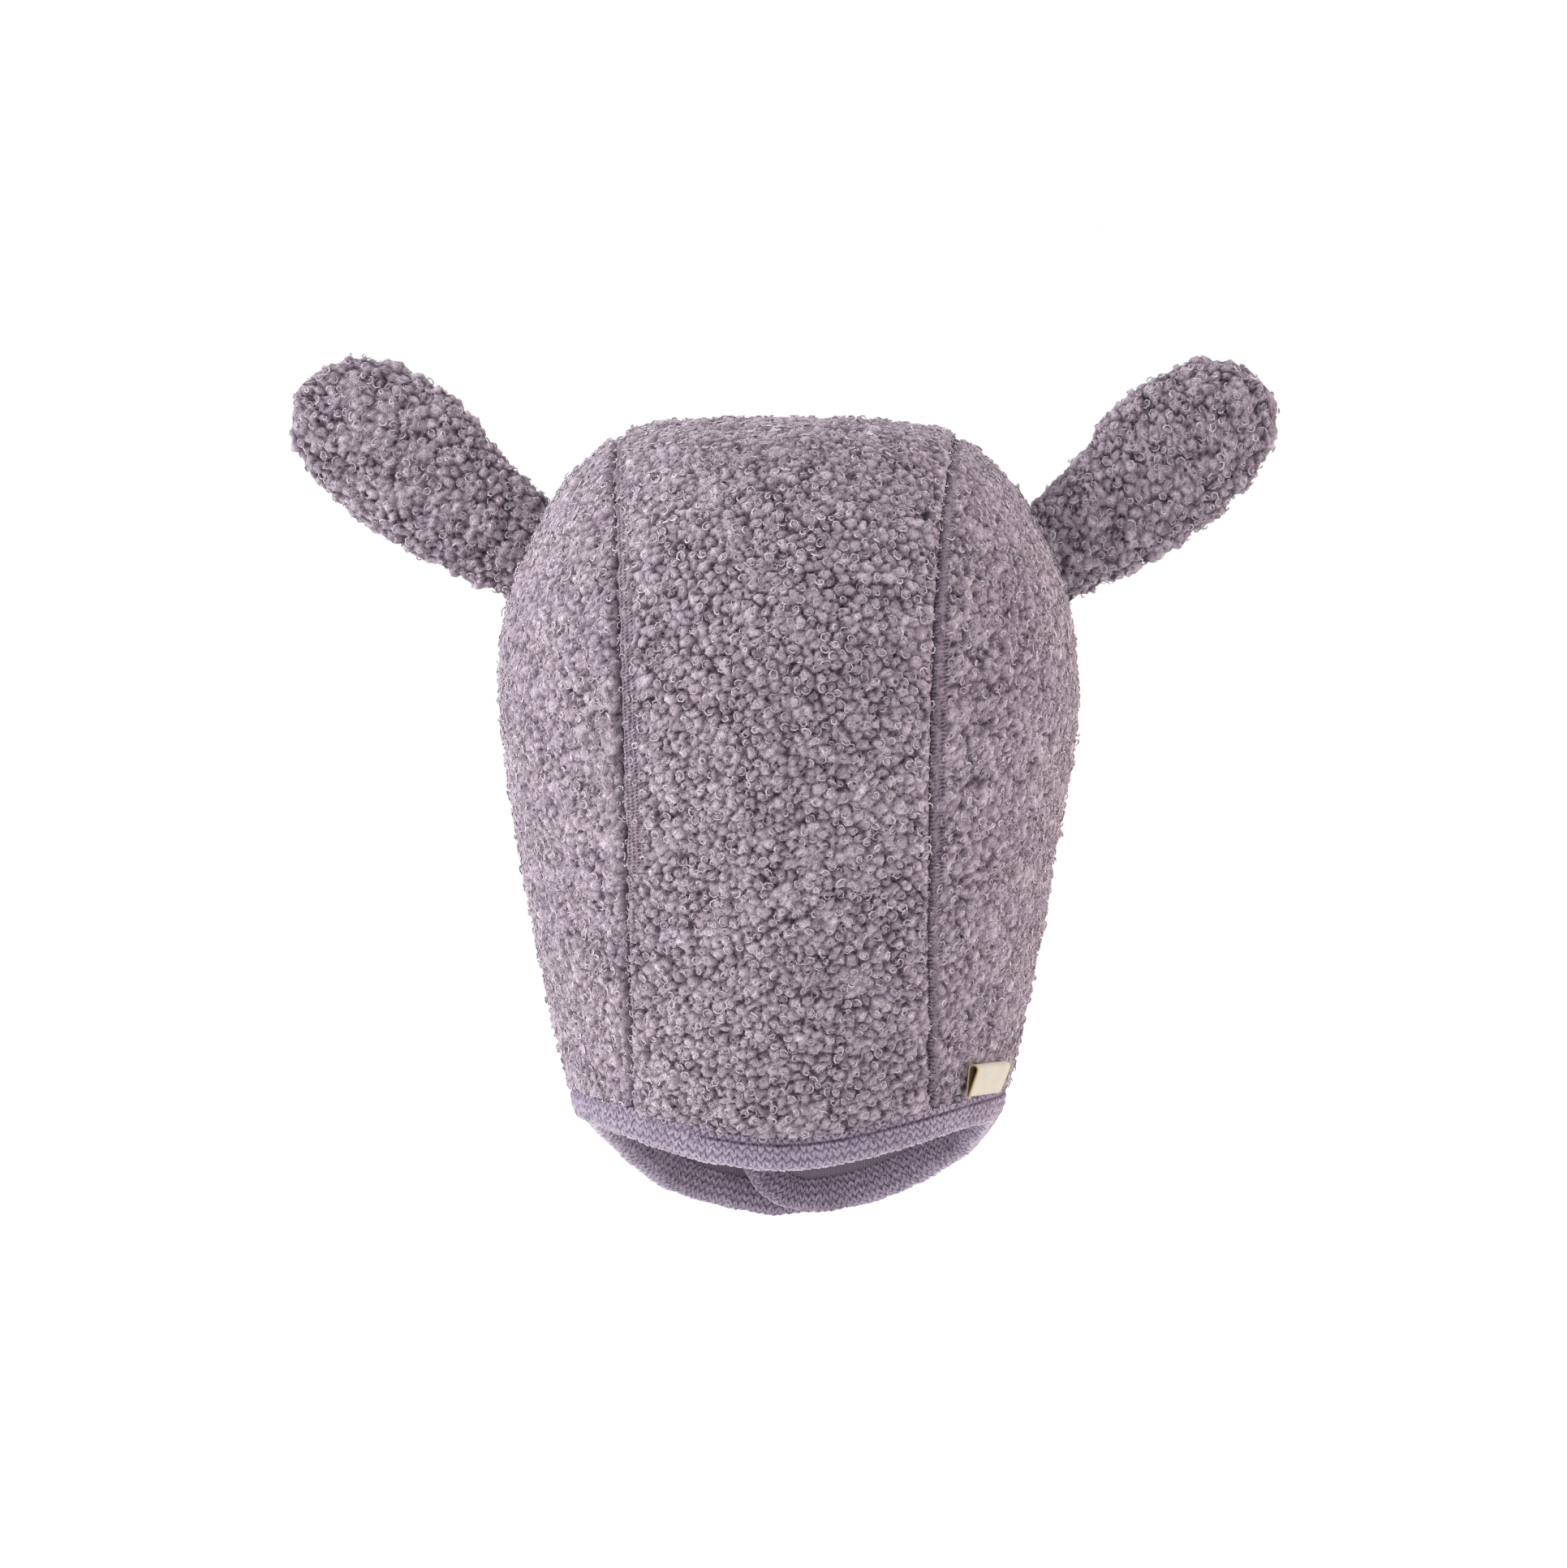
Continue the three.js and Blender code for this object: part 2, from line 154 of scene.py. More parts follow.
def form_normal(angle, number, side=1):
    top = len(LEVELS) - 1
    down = form_point(angle, np.minimum(number + 0.02, top), side)
    down = down - form_point(angle, np.maximum(number - 0.02, 0), side)
    around = form_point(angle + 0.5, number, side) - form_point(angle - 0.5, number, side)
    return unit(np.cross(down, around) * side)


def neck_drop(angle):
    cos = np.cos(np.radians(angle))
    nape = NECK["nape"] * np.maximum(cos, 0) ** NECK["nape_power"]
    chin = NECK["chin"] * np.maximum(-cos, 0) ** NECK["chin_power"]
    return NECK["side"] + np.where(cos > 0, nape, chin)


def seam_half(drop):
    return SEAM["nape"] + (SEAM["crown"] - SEAM["nape"]) * np.exp(-np.maximum(drop, 0) / SEAM["fade"])


EDGE_POINTS = {"face": 120, "tab": 60, "neck": 180}
TAB_END_CLEAR = 3


def half_edge(side):
    """The cut edge of one half as (angle, drop).

    It runs down the face opening, round the end of the tab and back along the neck.
    """
    lower = OUTER_TAB_LOWER if side < 0 else 0
    radius = (float(neck_drop(180)) + lower - FACE["bottom"]) / 2
    chin = form_point(np.array(180.0), level_number(FACE["bottom"] + radius), side)[1]
    end_angle = 180 + math.degrees((TAB["past_middle"] - radius) / chin)
    middle = (FACE["top"] + FACE["bottom"]) / 2
    turn = np.radians(np.linspace(-90, 90, EDGE_POINTS["face"], endpoint=False))
    aside = FACE["half_angle"] * np.abs(np.cos(turn)) ** FACE["roundness"]
    face = np.stack([180 - aside, middle + (middle - FACE["top"]) * np.sin(turn)], -1)
    face = face[(face[:, 1] < middle) | (face[:, 0] < end_angle - TAB_END_CLEAR)]
    turn = np.radians(np.linspace(90, -90, EDGE_POINTS["tab"]))
    across = end_angle + np.degrees(radius * np.cos(turn) / chin)
    tab = np.stack([across, FACE["bottom"] + radius * (1 - np.sin(turn))], -1)
    angle = end_angle * (1 - np.arange(1, EDGE_POINTS["neck"] + 1) / EDGE_POINTS["neck"])
    neck = np.stack([angle, neck_drop(angle) + lower * smooth(angle, 90, 150)], -1)
    return np.concatenate([face, tab, neck])


def lengths_along(points):
    """How far along a line each of its points lies."""
    return np.concatenate([[0], np.cumsum(np.linalg.norm(np.diff(points, axis=0), axis=1))])


def resampled(points, spacing):
    """Places round a closed row of points, as point numbers that needn't be whole, and the row's length."""
    along = lengths_along(np.concatenate([points, points[:1]]))
    count = max(3, round(along[-1] / spacing))
    wanted = np.linspace(0, along[-1], count, endpoint=False)
    return np.interp(wanted, along, np.arange(len(along))), along[-1]


RIM_ROUNDING = 2.6


def rim(spacing):
    """The closed edge of the hat: points, the surface's normals, the way into the cloth, and the length."""
    right, left = half_edge(1), half_edge(-1)[::-1][1:-1]
    places = np.concatenate([right, left])
    angles, numbers = places[:, 0], level_number(places[:, 1])
    on_right = (np.arange(len(places)) < len(right))[:, None]
    points, outs = (
        np.where(on_right, surface(angles, numbers, 1), surface(angles, numbers, -1))
        for surface in (form_point, form_normal)
    )
    at, length = resampled(points, spacing)
    steps = np.arange(len(points) + 1)
    joined = [np.concatenate([a, a[:1]]) for a in (points, outs)]
    points, outs = (np.stack([np.interp(at, steps, a[:, k]) for k in range(3)], -1) for a in joined)
    for _ in range(round(2 * (RIM_ROUNDING / spacing) ** 2)):
        points = (np.roll(points, 1, 0) + 2 * points + np.roll(points, -1, 0)) / 4
        outs = unit(np.roll(outs, 1, 0) + 2 * outs + np.roll(outs, -1, 0))
    along = np.roll(points, -1, 0) - np.roll(points, 1, 0)
    into = unit(np.cross(unit(along), outs))
    return points, outs, into, length


# Meshes and noise


def make_mesh(name, vertices, faces, material, values=None):
    """An object from points in millimetres, with its values kept as point attributes for the material."""
    mesh = bpy.data.meshes.new(name)
    mesh.from_pydata((np.reshape(vertices, (-1, 3)) * MM).tolist(), [], np.asarray(faces).tolist())
    for key, value in (values or {}).items():
        attribute = mesh.attributes.new(key, "FLOAT", "POINT")
        attribute.data.foreach_set("value", np.ravel(value).astype(np.float32))
    mesh.polygons.foreach_set("use_smooth", [True] * len(mesh.polygons))
    mesh.materials.append(material)
    mesh.update()
    obj = bpy.data.objects.new(name, mesh)
    bpy.context.scene.collection.objects.link(obj)
    return obj


def grid_faces(rows, columns, wrap=False):
    """Quads over a grid of rows and columns, closed across the columns where wrap is true."""
    last = columns if wrap else columns - 1
    row, column = np.meshgrid(np.arange(rows - 1), np.arange(last), indexing="ij")
    beside = (column + 1) % columns
    faces = [row * columns + column, row * columns + beside]
    faces += [(row + 1) * columns + beside, (row + 1) * columns + column]
    return np.stack(faces, -1).reshape(-1, 4)


NOISE_OCTAVES = 2
NOISE_WAVES = 7
NOISE_SPREAD = 2.65  # about the square root of NOISE_WAVES


def soft_noise(points, size, seed):
    """Smooth noise, mostly from -1 to 1, from sums of sine waves in fixed random directions."""
    random = np.random.default_rng(seed)
    total = np.zeros(len(points))
    weight = 0
    for octave in range(NOISE_OCTAVES):
        scale = size / 2**octave
        strength = 0.5**octave
        for _ in range(NOISE_WAVES):
            way = unit(random.normal(size=3)) * TURN / scale * random.uniform(0.7, 1.3)
            total += strength * np.sin(points @ way + random.uniform(0, TURN))
        weight += strength * NOISE_SPREAD
    return np.clip(total / weight, -1.3, 1.3)


def tree_of(points):
    tree = kdtree.KDTree(len(points))
    for index, point in enumerate(points):
        tree.insert(point, index)
    tree.balance()
    return tree


def scattered(points, usable, spacing, seed):
    """Indices of evenly spread points, some closer together and some further apart than the spacing."""
    random = np.random.default_rng(seed)
    order = random.permutation(np.flatnonzero(usable))
    reach = spacing * (0.72 + 0.52 * random.uniform(0, 1, len(points)) ** 1.4)
    cell = spacing * 1.24
    cells = (points // cell).astype(int)
    kept, room = [], {}
    for index in order:
        point, key = points[index], cells[index]
        near = [
            other
            for i in (-1, 0, 1)
            for j in (-1, 0, 1)
            for k in (-1, 0, 1)
            for other in room.get((key[0] + i, key[1] + j, key[2] + k), ())
        ]
        if near:
            gaps = points[near] - point
            if ((gaps * gaps).sum(1) < reach[index] ** 2).any():
                continue
        kept.append(index)
        room.setdefault(tuple(key), []).append(index)
    return np.array(kept)


def piece(name, vertices, faces, material, values, slot, *nodes):
    """A visible piece on the hat's one body, in place of the nodes named."""
    obj = make_mesh(name, vertices, faces, material, values)
    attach(obj, "root")
    if nodes:
        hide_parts(*nodes)
    return obj


# Charts: ways to spread an even grid over the form

SIDE_LENGTHS = lengths_along(form_point(np.full(len(FINE_NUMBERS), 90.0), FINE_NUMBERS)[:, [0, 2]])
MM_PER_DEGREE = 1.25
CHART_FRONT = 180 * MM_PER_DEGREE
CHART_PAST = 0.5
HUB_Z = CROWN_Z - 90
CLOTH_END = BINDING_WIDTH + 0.1
NO_SEAM_BELOW = 92  # a drop: in front the seams end at the face opening
FAR = 50  # stands for no border or seam nearby


def number_at_length(length):
    return np.interp(length, SIDE_LENGTHS, FINE_NUMBERS)


def chart_place(points, side):
    """The angle and the length down the side line of points on the surface."""
    angle = np.degrees(np.arctan2(side * points[:, 0], -points[:, 1])) % 360
    angle = np.where(angle > 270, angle - 360, angle)
    length = np.interp(level_number(CROWN_Z - points[:, 2]), FINE_NUMBERS, SIDE_LENGTHS)
    return np.stack([angle * MM_PER_DEGREE, length], -1)


def distance_inside(places, outline):
    """How far places lie inside a closed outline, negative outside it."""
    starts, ends = outline, np.roll(outline, -1, 0)
    ways = ends - starts
    lengths = np.maximum((ways * ways).sum(1), 1e-9)
    nearest = np.full(len(places), np.inf)
    inside = np.zeros(len(places), bool)
    for start, end, way, length in zip(starts, ends, ways, lengths):
        gap = places - start
        share = np.clip(gap @ way / length, 0, 1)
        nearest = np.minimum(nearest, ((gap - share[:, None] * way) ** 2).sum(1))
        crosses = (start[1] > places[:, 1]) != (end[1] > places[:, 1])
        height = way[1] if abs(way[1]) > 1e-12 else 1e-12
        inside ^= crosses & (places[:, 0] < start[0] + way[0] * gap[:, 1] / height)
    return np.where(inside, 1, -1) * np.sqrt(nearest)


def half_outline(side, inset=CLOTH_END):
    """The cloth of one half in chart places: the edge, set in by a width, closed over the crown's middle."""
    points, _, into, _ = EDGE
    own = half_edge(side)
    own_points = form_point(own[:, 0], level_number(own[:, 1]), side)
    tree = tree_of(points)
    first, last = (tree.find(own_points[k])[1] for k in (0, -1))
    count = len(points)
    indices = (first + side * np.arange(side * (last - first) % count + 1)) % count
    outline = chart_place((points + into * inset)[indices], side)
    front, back = CHART_FRONT + CHART_PAST, -CHART_PAST
    over = [[back, outline[-1, 1]], [back, -1], [front, -1]]
    return np.concatenate([[[front, outline[0, 1]]], outline, over])


def seam_distance(points, side):
    """How far points lie on the side panel's side of the seam, which ends at the face opening."""
    drop = CROWN_Z - points[:, 2]
    gap = side * points[:, 0] - seam_half(drop)
    under_face = (points[:, 1] > 0) & (drop > NO_SEAM_BELOW)
    return np.where(under_face, FAR, gap)


def trimmed(across, down, inside):
    """The cells of a grid that reach inside, with the vertices just outside moved onto the border."""
    rows, columns = len(down), len(across)
    grid = np.stack(np.meshgrid(across, down), -1)
    depth = inside(grid.reshape(-1, 2)).reshape(rows, columns)
    moved = grid.copy()
    best = np.full((rows, columns), 0.0)
    for i, j in ((0, 1), (0, -1), (1, 0), (-1, 0), (1, 1), (1, -1), (-1, 1), (-1, -1)):
        row = np.clip(np.arange(rows) + i, 0, rows - 1)
        column = np.clip(np.arange(columns) + j, 0, columns - 1)
        near_depth, near = depth[np.ix_(row, column)], grid[np.ix_(row, column)]
        better = (depth <= 0) & (near_depth > best)
        share = near_depth / np.maximum(near_depth - depth, 1e-9)
        moved = np.where(better[..., None], near + (grid - near) * share[..., None], moved)
        best = np.where(better, near_depth, best)
    usable = (depth > 0) | (best > 0)
    faces = grid_faces(rows, columns)
    inner = (depth > 0).reshape(-1)[faces].sum(1) >= 1
    faces = faces[inner & usable.reshape(-1)[faces].all(1)]
    used = np.unique(faces)
    new = np.full(rows * columns, -1)
    new[used] = np.arange(len(used))
    return moved.reshape(-1, 2)[used], new[faces]


def border_edges(faces):
    """The directed edges that only one face has."""
    pairs = np.concatenate([np.stack([faces[:, k], faces[:, (k + 1) % 4]], -1) for k in range(4)])
    key = np.sort(pairs, 1)
    _, first, counts = np.unique(key, axis=0, return_index=True, return_counts=True)
    return pairs[first[counts == 1]]


def with_skirt(vertices, lower, faces, values):
    """A sheet with its border turned in: the border's vertices are repeated at their lower places."""
    edges = border_edges(faces)
    border = np.unique(edges)
    new = np.full(len(vertices), -1)
    new[border] = len(vertices) + np.arange(len(border))
    skirt = np.stack([edges[:, 1], edges[:, 0], new[edges[:, 0]], new[edges[:, 1]]], -1)
    more = {key: np.concatenate([value, value[border]]) for key, value in values.items()}
    return np.concatenate([vertices, lower[border]]), np.concatenate([faces, skirt]), more


def two_sided(outer, inner, faces):
    """A closed sheet from two layers with the same faces."""
    edges = border_edges(faces)
    count = len(outer)
    walls = np.stack([edges[:, 1], edges[:, 0], edges[:, 0] + count, edges[:, 1] + count], -1)
    return np.concatenate([outer, inner]), np.concatenate([faces, faces[:, ::-1] + count, walls])


# Curly wool

CURL_SPACING = 2.7
STITCH_PITCH = 1.05
STITCH_COLUMN = 1.3
TWIN_LINES = 3.0
CURL_TOP = 0.72
CURL_STEPS = 6
CURL_SIDES = 3
CLUMP_SPACING = 9.5
LOOP_SHARE = 0.85
WOOL_SEEDS = {
    "centre_panel": 100,
    "side_panel_left": 250,
    "side_panel_right": 350,
    "ear_left": 500,
    "ear_right": 600,
}


def curl_traits(seeds, normals, seed):
    """What each curl looks like: its height, its ring, the way it is longest, its tint."""
    random = np.random.default_rng(seed)
    count = len(seeds)
    way = random.normal(size=(count, 3))
    way = unit(way - (way * normals).sum(1, keepdims=True) * normals)
    return {
        "way": way,
        "stretch": random.uniform(0, 0.6, count),
        "height": random.normal(0, 0.26, count),
        "ring": random.uniform(0, 1, count) < 0.5,
        "ring_radius": random.uniform(0.65, 1.1, count),
        "tint": random.uniform(-1, 1, count),
    }


def shares(points, seeds, traits=None, count=4):
    """Each point's nearest seed, its distance, and its share of the way to the border with the next."""
    tree = tree_of(seeds)
    near = np.array([[found[1] for found in tree.find_n(point, count)] for point in points])
    gaps = points[:, None] - seeds[near]
    squares = (gaps * gaps).sum(-1)
    if traits is not None:
        along = (gaps * traits["way"][near]).sum(-1)
        squares = squares - along**2 * traits["stretch"][near]
    reach = np.sqrt(np.maximum(squares, 0))
    order = np.argsort(reach, 1)
    first, second = (np.take_along_axis(reach, order[:, k : k + 1], 1)[:, 0] for k in (0, 1))
    mine = np.take_along_axis(near, order[:, :1], 1)[:, 0]
    return mine, first, np.clip(2 * first / np.maximum(first + second, 1e-6), 0, 1)


def pebbled(points, seeds, traits, deep):
    """Packed curls: how high each point stands, and its painted light: painted shade in the crevices and
    painted highlights on the crests.
    """
    mine, gap, share = shares(points, seeds, traits)
    dome = np.maximum(1 - share**2.8, 0) ** 0.6
    ring = traits["ring"][mine]
    crest = np.exp(-(((gap - traits["ring_radius"][mine]) / 0.36) ** 2)) * ring
    pit = np.exp(-((gap / 0.5) ** 2)) * ring
    drop = (1 - dome) * (0.85 + 0.75 * deep)
    height = CURL_TOP + traits["height"][mine] - drop + 0.2 * crest - 0.35 * pit
    # Painted light: darker into the crevices and ring pits (painted shade), lighter on ring crests and taller
    # curls (painted highlights).
    tone_and_painted_light = 0.9 - (1 - dome) * (0.62 + 0.42 * deep) + 0.2 * crest - 0.35 * pit + 0.3 * traits["height"][mine]
    return height, tone_and_painted_light, traits["tint"][mine]


def curl_loops(name, material, seeds, normals, levels, traits, seed):
    """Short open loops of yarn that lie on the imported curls, joined in one piece."""
    random = np.random.default_rng(seed)
    chosen = np.flatnonzero(random.uniform(0, 1, len(seeds)) < LOOP_SHARE)
    centres, outs, count = seeds[chosen], normals[chosen], len(chosen)
    first = traits["way"][chosen]
    second = np.cross(outs, first)
    turned = random.uniform(0, TURN, (count, 1))
    first, second = (
        first * np.cos(turned) + second * np.sin(turned),
        second * np.cos(turned) - first * np.sin(turned),
    )
    lean = random.normal(0, 0.4, (count, 1))
    leaning = unit(second * np.cos(lean) + outs * np.sin(lean))
    radius = random.uniform(0.7, 1.5, (count, 1))
    sweep = random.uniform(3.4, 6.2, (count, 1))
    oval = random.uniform(0.6, 1, (count, 1))
    way = np.linspace(0, 1, CURL_STEPS)[None]
    turn = way * sweep
    spiral = radius * (1 - 0.22 * way)
    lift = levels[chosen][:, None] + random.uniform(-0.28, 0.12, (count, 1)) - 0.25 * (spiral - 0.9)
    line = (
        centres[:, None]
        + first[:, None] * (spiral * np.cos(turn))[..., None]
        + leaning[:, None] * (spiral * oval * np.sin(turn))[..., None]
        + outs[:, None] * lift[..., None]
    )
    ahead = unit(np.gradient(line, axis=1))
    beside = unit(np.cross(ahead, outs[:, None]))
    above = np.cross(beside, ahead)
    thick = random.uniform(0.17, 0.29, (count, 1, 1, 1))
    ends = np.array([0.35] + [1] * (CURL_STEPS - 2) + [0.35])[None, :, None, None]
    around = np.linspace(0, TURN, CURL_SIDES, endpoint=False)[None, None, :, None]
    tube = line[:, :, None] + thick * ends * (
        beside[:, :, None] * np.cos(around) + above[:, :, None] * np.sin(around)
    )
    one = grid_faces(CURL_STEPS, CURL_SIDES, wrap=True)
    each = CURL_STEPS * CURL_SIDES
    faces = (one[None] + (np.arange(count) * each)[:, None, None]).reshape(-1, 4)
    values = {
        # The loops are painted lighter than the curls under them: painted highlights on the yarn.
        "tone_and_painted_light": np.repeat(1.08 + random.uniform(-0.2, 0.25, count), each),
        "tint": np.repeat(traits["tint"][chosen], each),
    }
    return piece(name, tube, faces, material, values, "curly_wool")


def wool_piece(node, material, base, outs, faces, plain, sink, extra, lumpy=0.2):
    """Cloth of packed curls over a smooth base, with its loops as a piece of their own.

    plain is 1 where there are no curls, sink how far the base is pressed in, lumpy how uneven the pile is.
    """
    name, seed = node + "_wool", WOOL_SEEDS[node]
    index = scattered(base, plain < 0.6, CURL_SPACING, seed)
    seeds, seed_outs = base[index], outs[index]
    traits = curl_traits(seeds, seed_outs, seed + 1)
    wobble = np.stack([soft_noise(base, 4, seed + 2 + k) for k in range(3)], -1) * 0.65
    clumps = seeds[scattered(seeds, np.ones(len(seeds), bool), CLUMP_SPACING, seed + 7)]
    sway = np.stack([soft_noise(base, 8, seed + 12 + k) for k in range(3)], -1) * 1.8
    _, _, clump_share = shares(base + wobble * 1.5 + sway, clumps, count=3)
    crease = clump_share**5
    deep = np.clip(0.5 + 0.5 * soft_noise(base, 9, seed + 8) + 0.5 * crease, 0, 1.4)
    height, tone_and_painted_light, tint = pebbled(base + wobble, seeds, traits, deep)
    curly = 1 - plain
    slow = soft_noise(base, 48, seed + 9) * 0.35 + soft_noise(base, 6.5, seed + 10) * lumpy - 0.45 * crease
    rise = curly * (height + slow) + plain * 0.1 - sink
    vertices = base + outs * rise[:, None]
    # The curls' painted shade and highlights, made darker again along the creases between clumps (painted
    # shade); the flat sewn bands get a fixed darker tone.
    values = {"tone_and_painted_light": curly * (tone_and_painted_light - 0.14 * crease) + plain * 0.22, "tint": tint * curly, **extra}
    if len(border_edges(faces)):
        vertices, faces, values = with_skirt(vertices, base - outs * (WOOL - 0.2), faces, values)
    cloth = piece(name, vertices, faces, material, values, "curly_wool", node)
    levels = (CURL_TOP + traits["height"] + slow[index]) * curly[index] - sink[index]
    loops = curl_loops(name + "_curls", material, seeds, seed_outs, levels, traits, seed + 5)
    return cloth, loops


# Materials


def linear(colour):
    """A colour given as it shows on a screen, from 0 to 255, as the shader's own numbers."""
    return tuple(((c / 255 + 0.055) / 1.055) ** 2.4 if c > 10 else c / 3295 for c in colour) + (1,)


class Nodes:
    """A material's nodes, made and joined in short calls."""

    def __init__(self, name):
        self.material = bpy.data.materials.new(name)
        self.material.use_nodes = True
        self.tree = self.material.node_tree
        self.shader = self.tree.nodes["Principled BSDF"]

    def add(self, kind, settings=None, **inputs):
        node = self.tree.nodes.new(kind)
        for key, value in (settings or {}).items():
            setattr(node, key, value)
        for key, value in inputs.items():
            self.set(node, key.replace("_", " "), value)
        return node

    def set(self, node, key, value):
        socket = node.inputs[int(key)] if key.isdigit() else node.inputs[key]
        if isinstance(value, bpy.types.NodeSocket):
            self.tree.links.new(value, socket)
        else:
            socket.default_value = value

    def math(self, operation, first, second=0.0, third=0.0):
        node = self.add("ShaderNodeMath", {"operation": operation})
        for index, value in enumerate((first, second, third)):
            self.set(node, str(index), value)
        return node.outputs[0]

    def attribute(self, name):
        return self.add("ShaderNodeAttribute", {"attribute_name": name}).outputs["Fac"]

    def noise(self, size, detail=2.0, roughness=0.5, distortion=0.0):
        """Noise with lumps of a size in millimetres."""
        place = self.add("ShaderNodeTexCoord").outputs["Object"]
        node = self.add("ShaderNodeTexNoise", Vector=place, Scale=1 / (size * MM), Detail=detail,
                        Roughness=roughness, Distortion=distortion)
        return node.outputs["Fac"]

    def ridge(self, value, middle, width):
        """1 where a value is at the middle, down to 0 at a width above or below it."""
        away = self.math("ABSOLUTE", self.math("SUBTRACT", value, middle))
        return self.math("MAXIMUM", self.math("MULTIPLY_ADD", away, -1 / width, 1), 0)

    def under(self, value, limit, width):
        """0 where a value is above the limit, up to 1 at a width below it."""
        depth = self.math("MULTIPLY_ADD", value, -1 / width, limit / width)
        return self.math("MINIMUM", self.math("MAXIMUM", depth, 0), 1)

    def plus(self, value, part, share):
        """A value with a share of another part added to it."""
        return self.math("MULTIPLY_ADD", part, share, value)

    def vary(self, value, noise, strength):
        """A value made uneven by noise, which is 0.5 on average."""
        return self.plus(value, self.math("SUBTRACT", noise, 0.5), strength)

    def wave(self, operation, value, pitch=1.0):
        """A sine or cosine that repeats at each pitch of the value."""
        return self.math(operation, self.math("MULTIPLY", value, TURN / pitch))

    def ramp(self, value, stops):
        """Colours between stops, each a place from 0 to 1 and a colour as it shows on a screen."""
        node = self.add("ShaderNodeValToRGB", Fac=value)
        elements = node.color_ramp.elements
        while len(elements) < len(stops):
            elements.new(0.5)
        for element, (place, colour) in zip(elements, stops):
            element.position = place
            element.color = linear(colour)
        return node.outputs["Color"]

    def mix(self, share, first, second):
        node = self.add("ShaderNodeMix", {"data_type": "RGBA", "blend_type": "MIX"})
        for index, value in ((0, share), (6, first), (7, second)):
            self.set(node, str(index), value)
        return node.outputs[2]

    def bump(self, height, distance, strength=1.0):
        """Bump of a height in millimetres."""
        node = self.add("ShaderNodeBump", Height=height, Distance=distance * MM, Strength=strength)
        self.set(self.shader, "Normal", node.outputs["Normal"])

    def finish(self, colour, roughness, sheen=0.0, sheen_tint=(255, 255, 255), specular=0.25):
        self.set(self.shader, "Base Color", colour)
        self.set(self.shader, "Roughness", roughness)
        self.set(self.shader, "Sheen Weight", sheen)
        self.set(self.shader, "Sheen Roughness", 0.5)
        self.set(self.shader, "Sheen Tint", linear(sheen_tint))
        self.set(self.shader, "Specular IOR Level", specular)
        return self.material


def wool_material():
    """Mauve-grey curly wool with a fine fuzz: painted shade between the curls and painted highlights on their
    rims.
    """
    made = Nodes("curly_wool")
    fuzz = made.noise(0.5, 3, 0.65)
    yarn = made.ridge(made.noise(2.1, 1, 0.5, 1.3), 0.5, 0.07)
    pits = made.under(made.noise(1.4, 1, 0.5, 0.6), 0.44, 0.12)
    # The points' value carries the curls' painted shade and painted highlights.
    value = made.vary(made.attribute("tone_and_painted_light"), fuzz, 0.7)
    # Lighter along the yarn lines: painted highlights.
    value = made.plus(value, yarn, 0.2)
    # Darker in the small pits: painted shade.
    value = made.plus(value, pits, -0.24)
    value = made.plus(value, made.attribute("tint"), 0.07)
    value = made.vary(value, made.noise(24, 1), 0.3)
    column = made.vary(made.attribute("column"), made.noise(1.9, 1), 0.7)
    along = made.vary(made.attribute("along"), made.noise(2.4, 1), 1.4)
    dashes = made.wave("SINE", made.plus(made.math("MULTIPLY", along, 1 / STITCH_PITCH), column, 0.63))
    columns = made.wave("COSINE", column)
    dotted = made.math("MULTIPLY", dashes, made.plus(0.6, columns, -0.5))
    stitches = made.math("MULTIPLY", made.attribute("sewn"), made.plus(dotted, columns, 0.5))
    value = made.plus(0.16, made.plus(value, stitches, 0.38), 0.6)
    colour = made.ramp(value, [
        (0.0, (44, 34, 45)),
        (0.25, (90, 76, 90)),
        (0.5, (143, 129, 142)),
        (0.72, (174, 161, 172)),
        (1.0, (216, 206, 214)),
    ])
    relief = made.plus(made.plus(fuzz, pits, -0.5), yarn, 0.5)
    made.bump(made.plus(relief, stitches, 0.4), 0.5)
    return made.finish(colour, 0.95, sheen=0.3, sheen_tint=(232, 222, 230), specular=0.1)


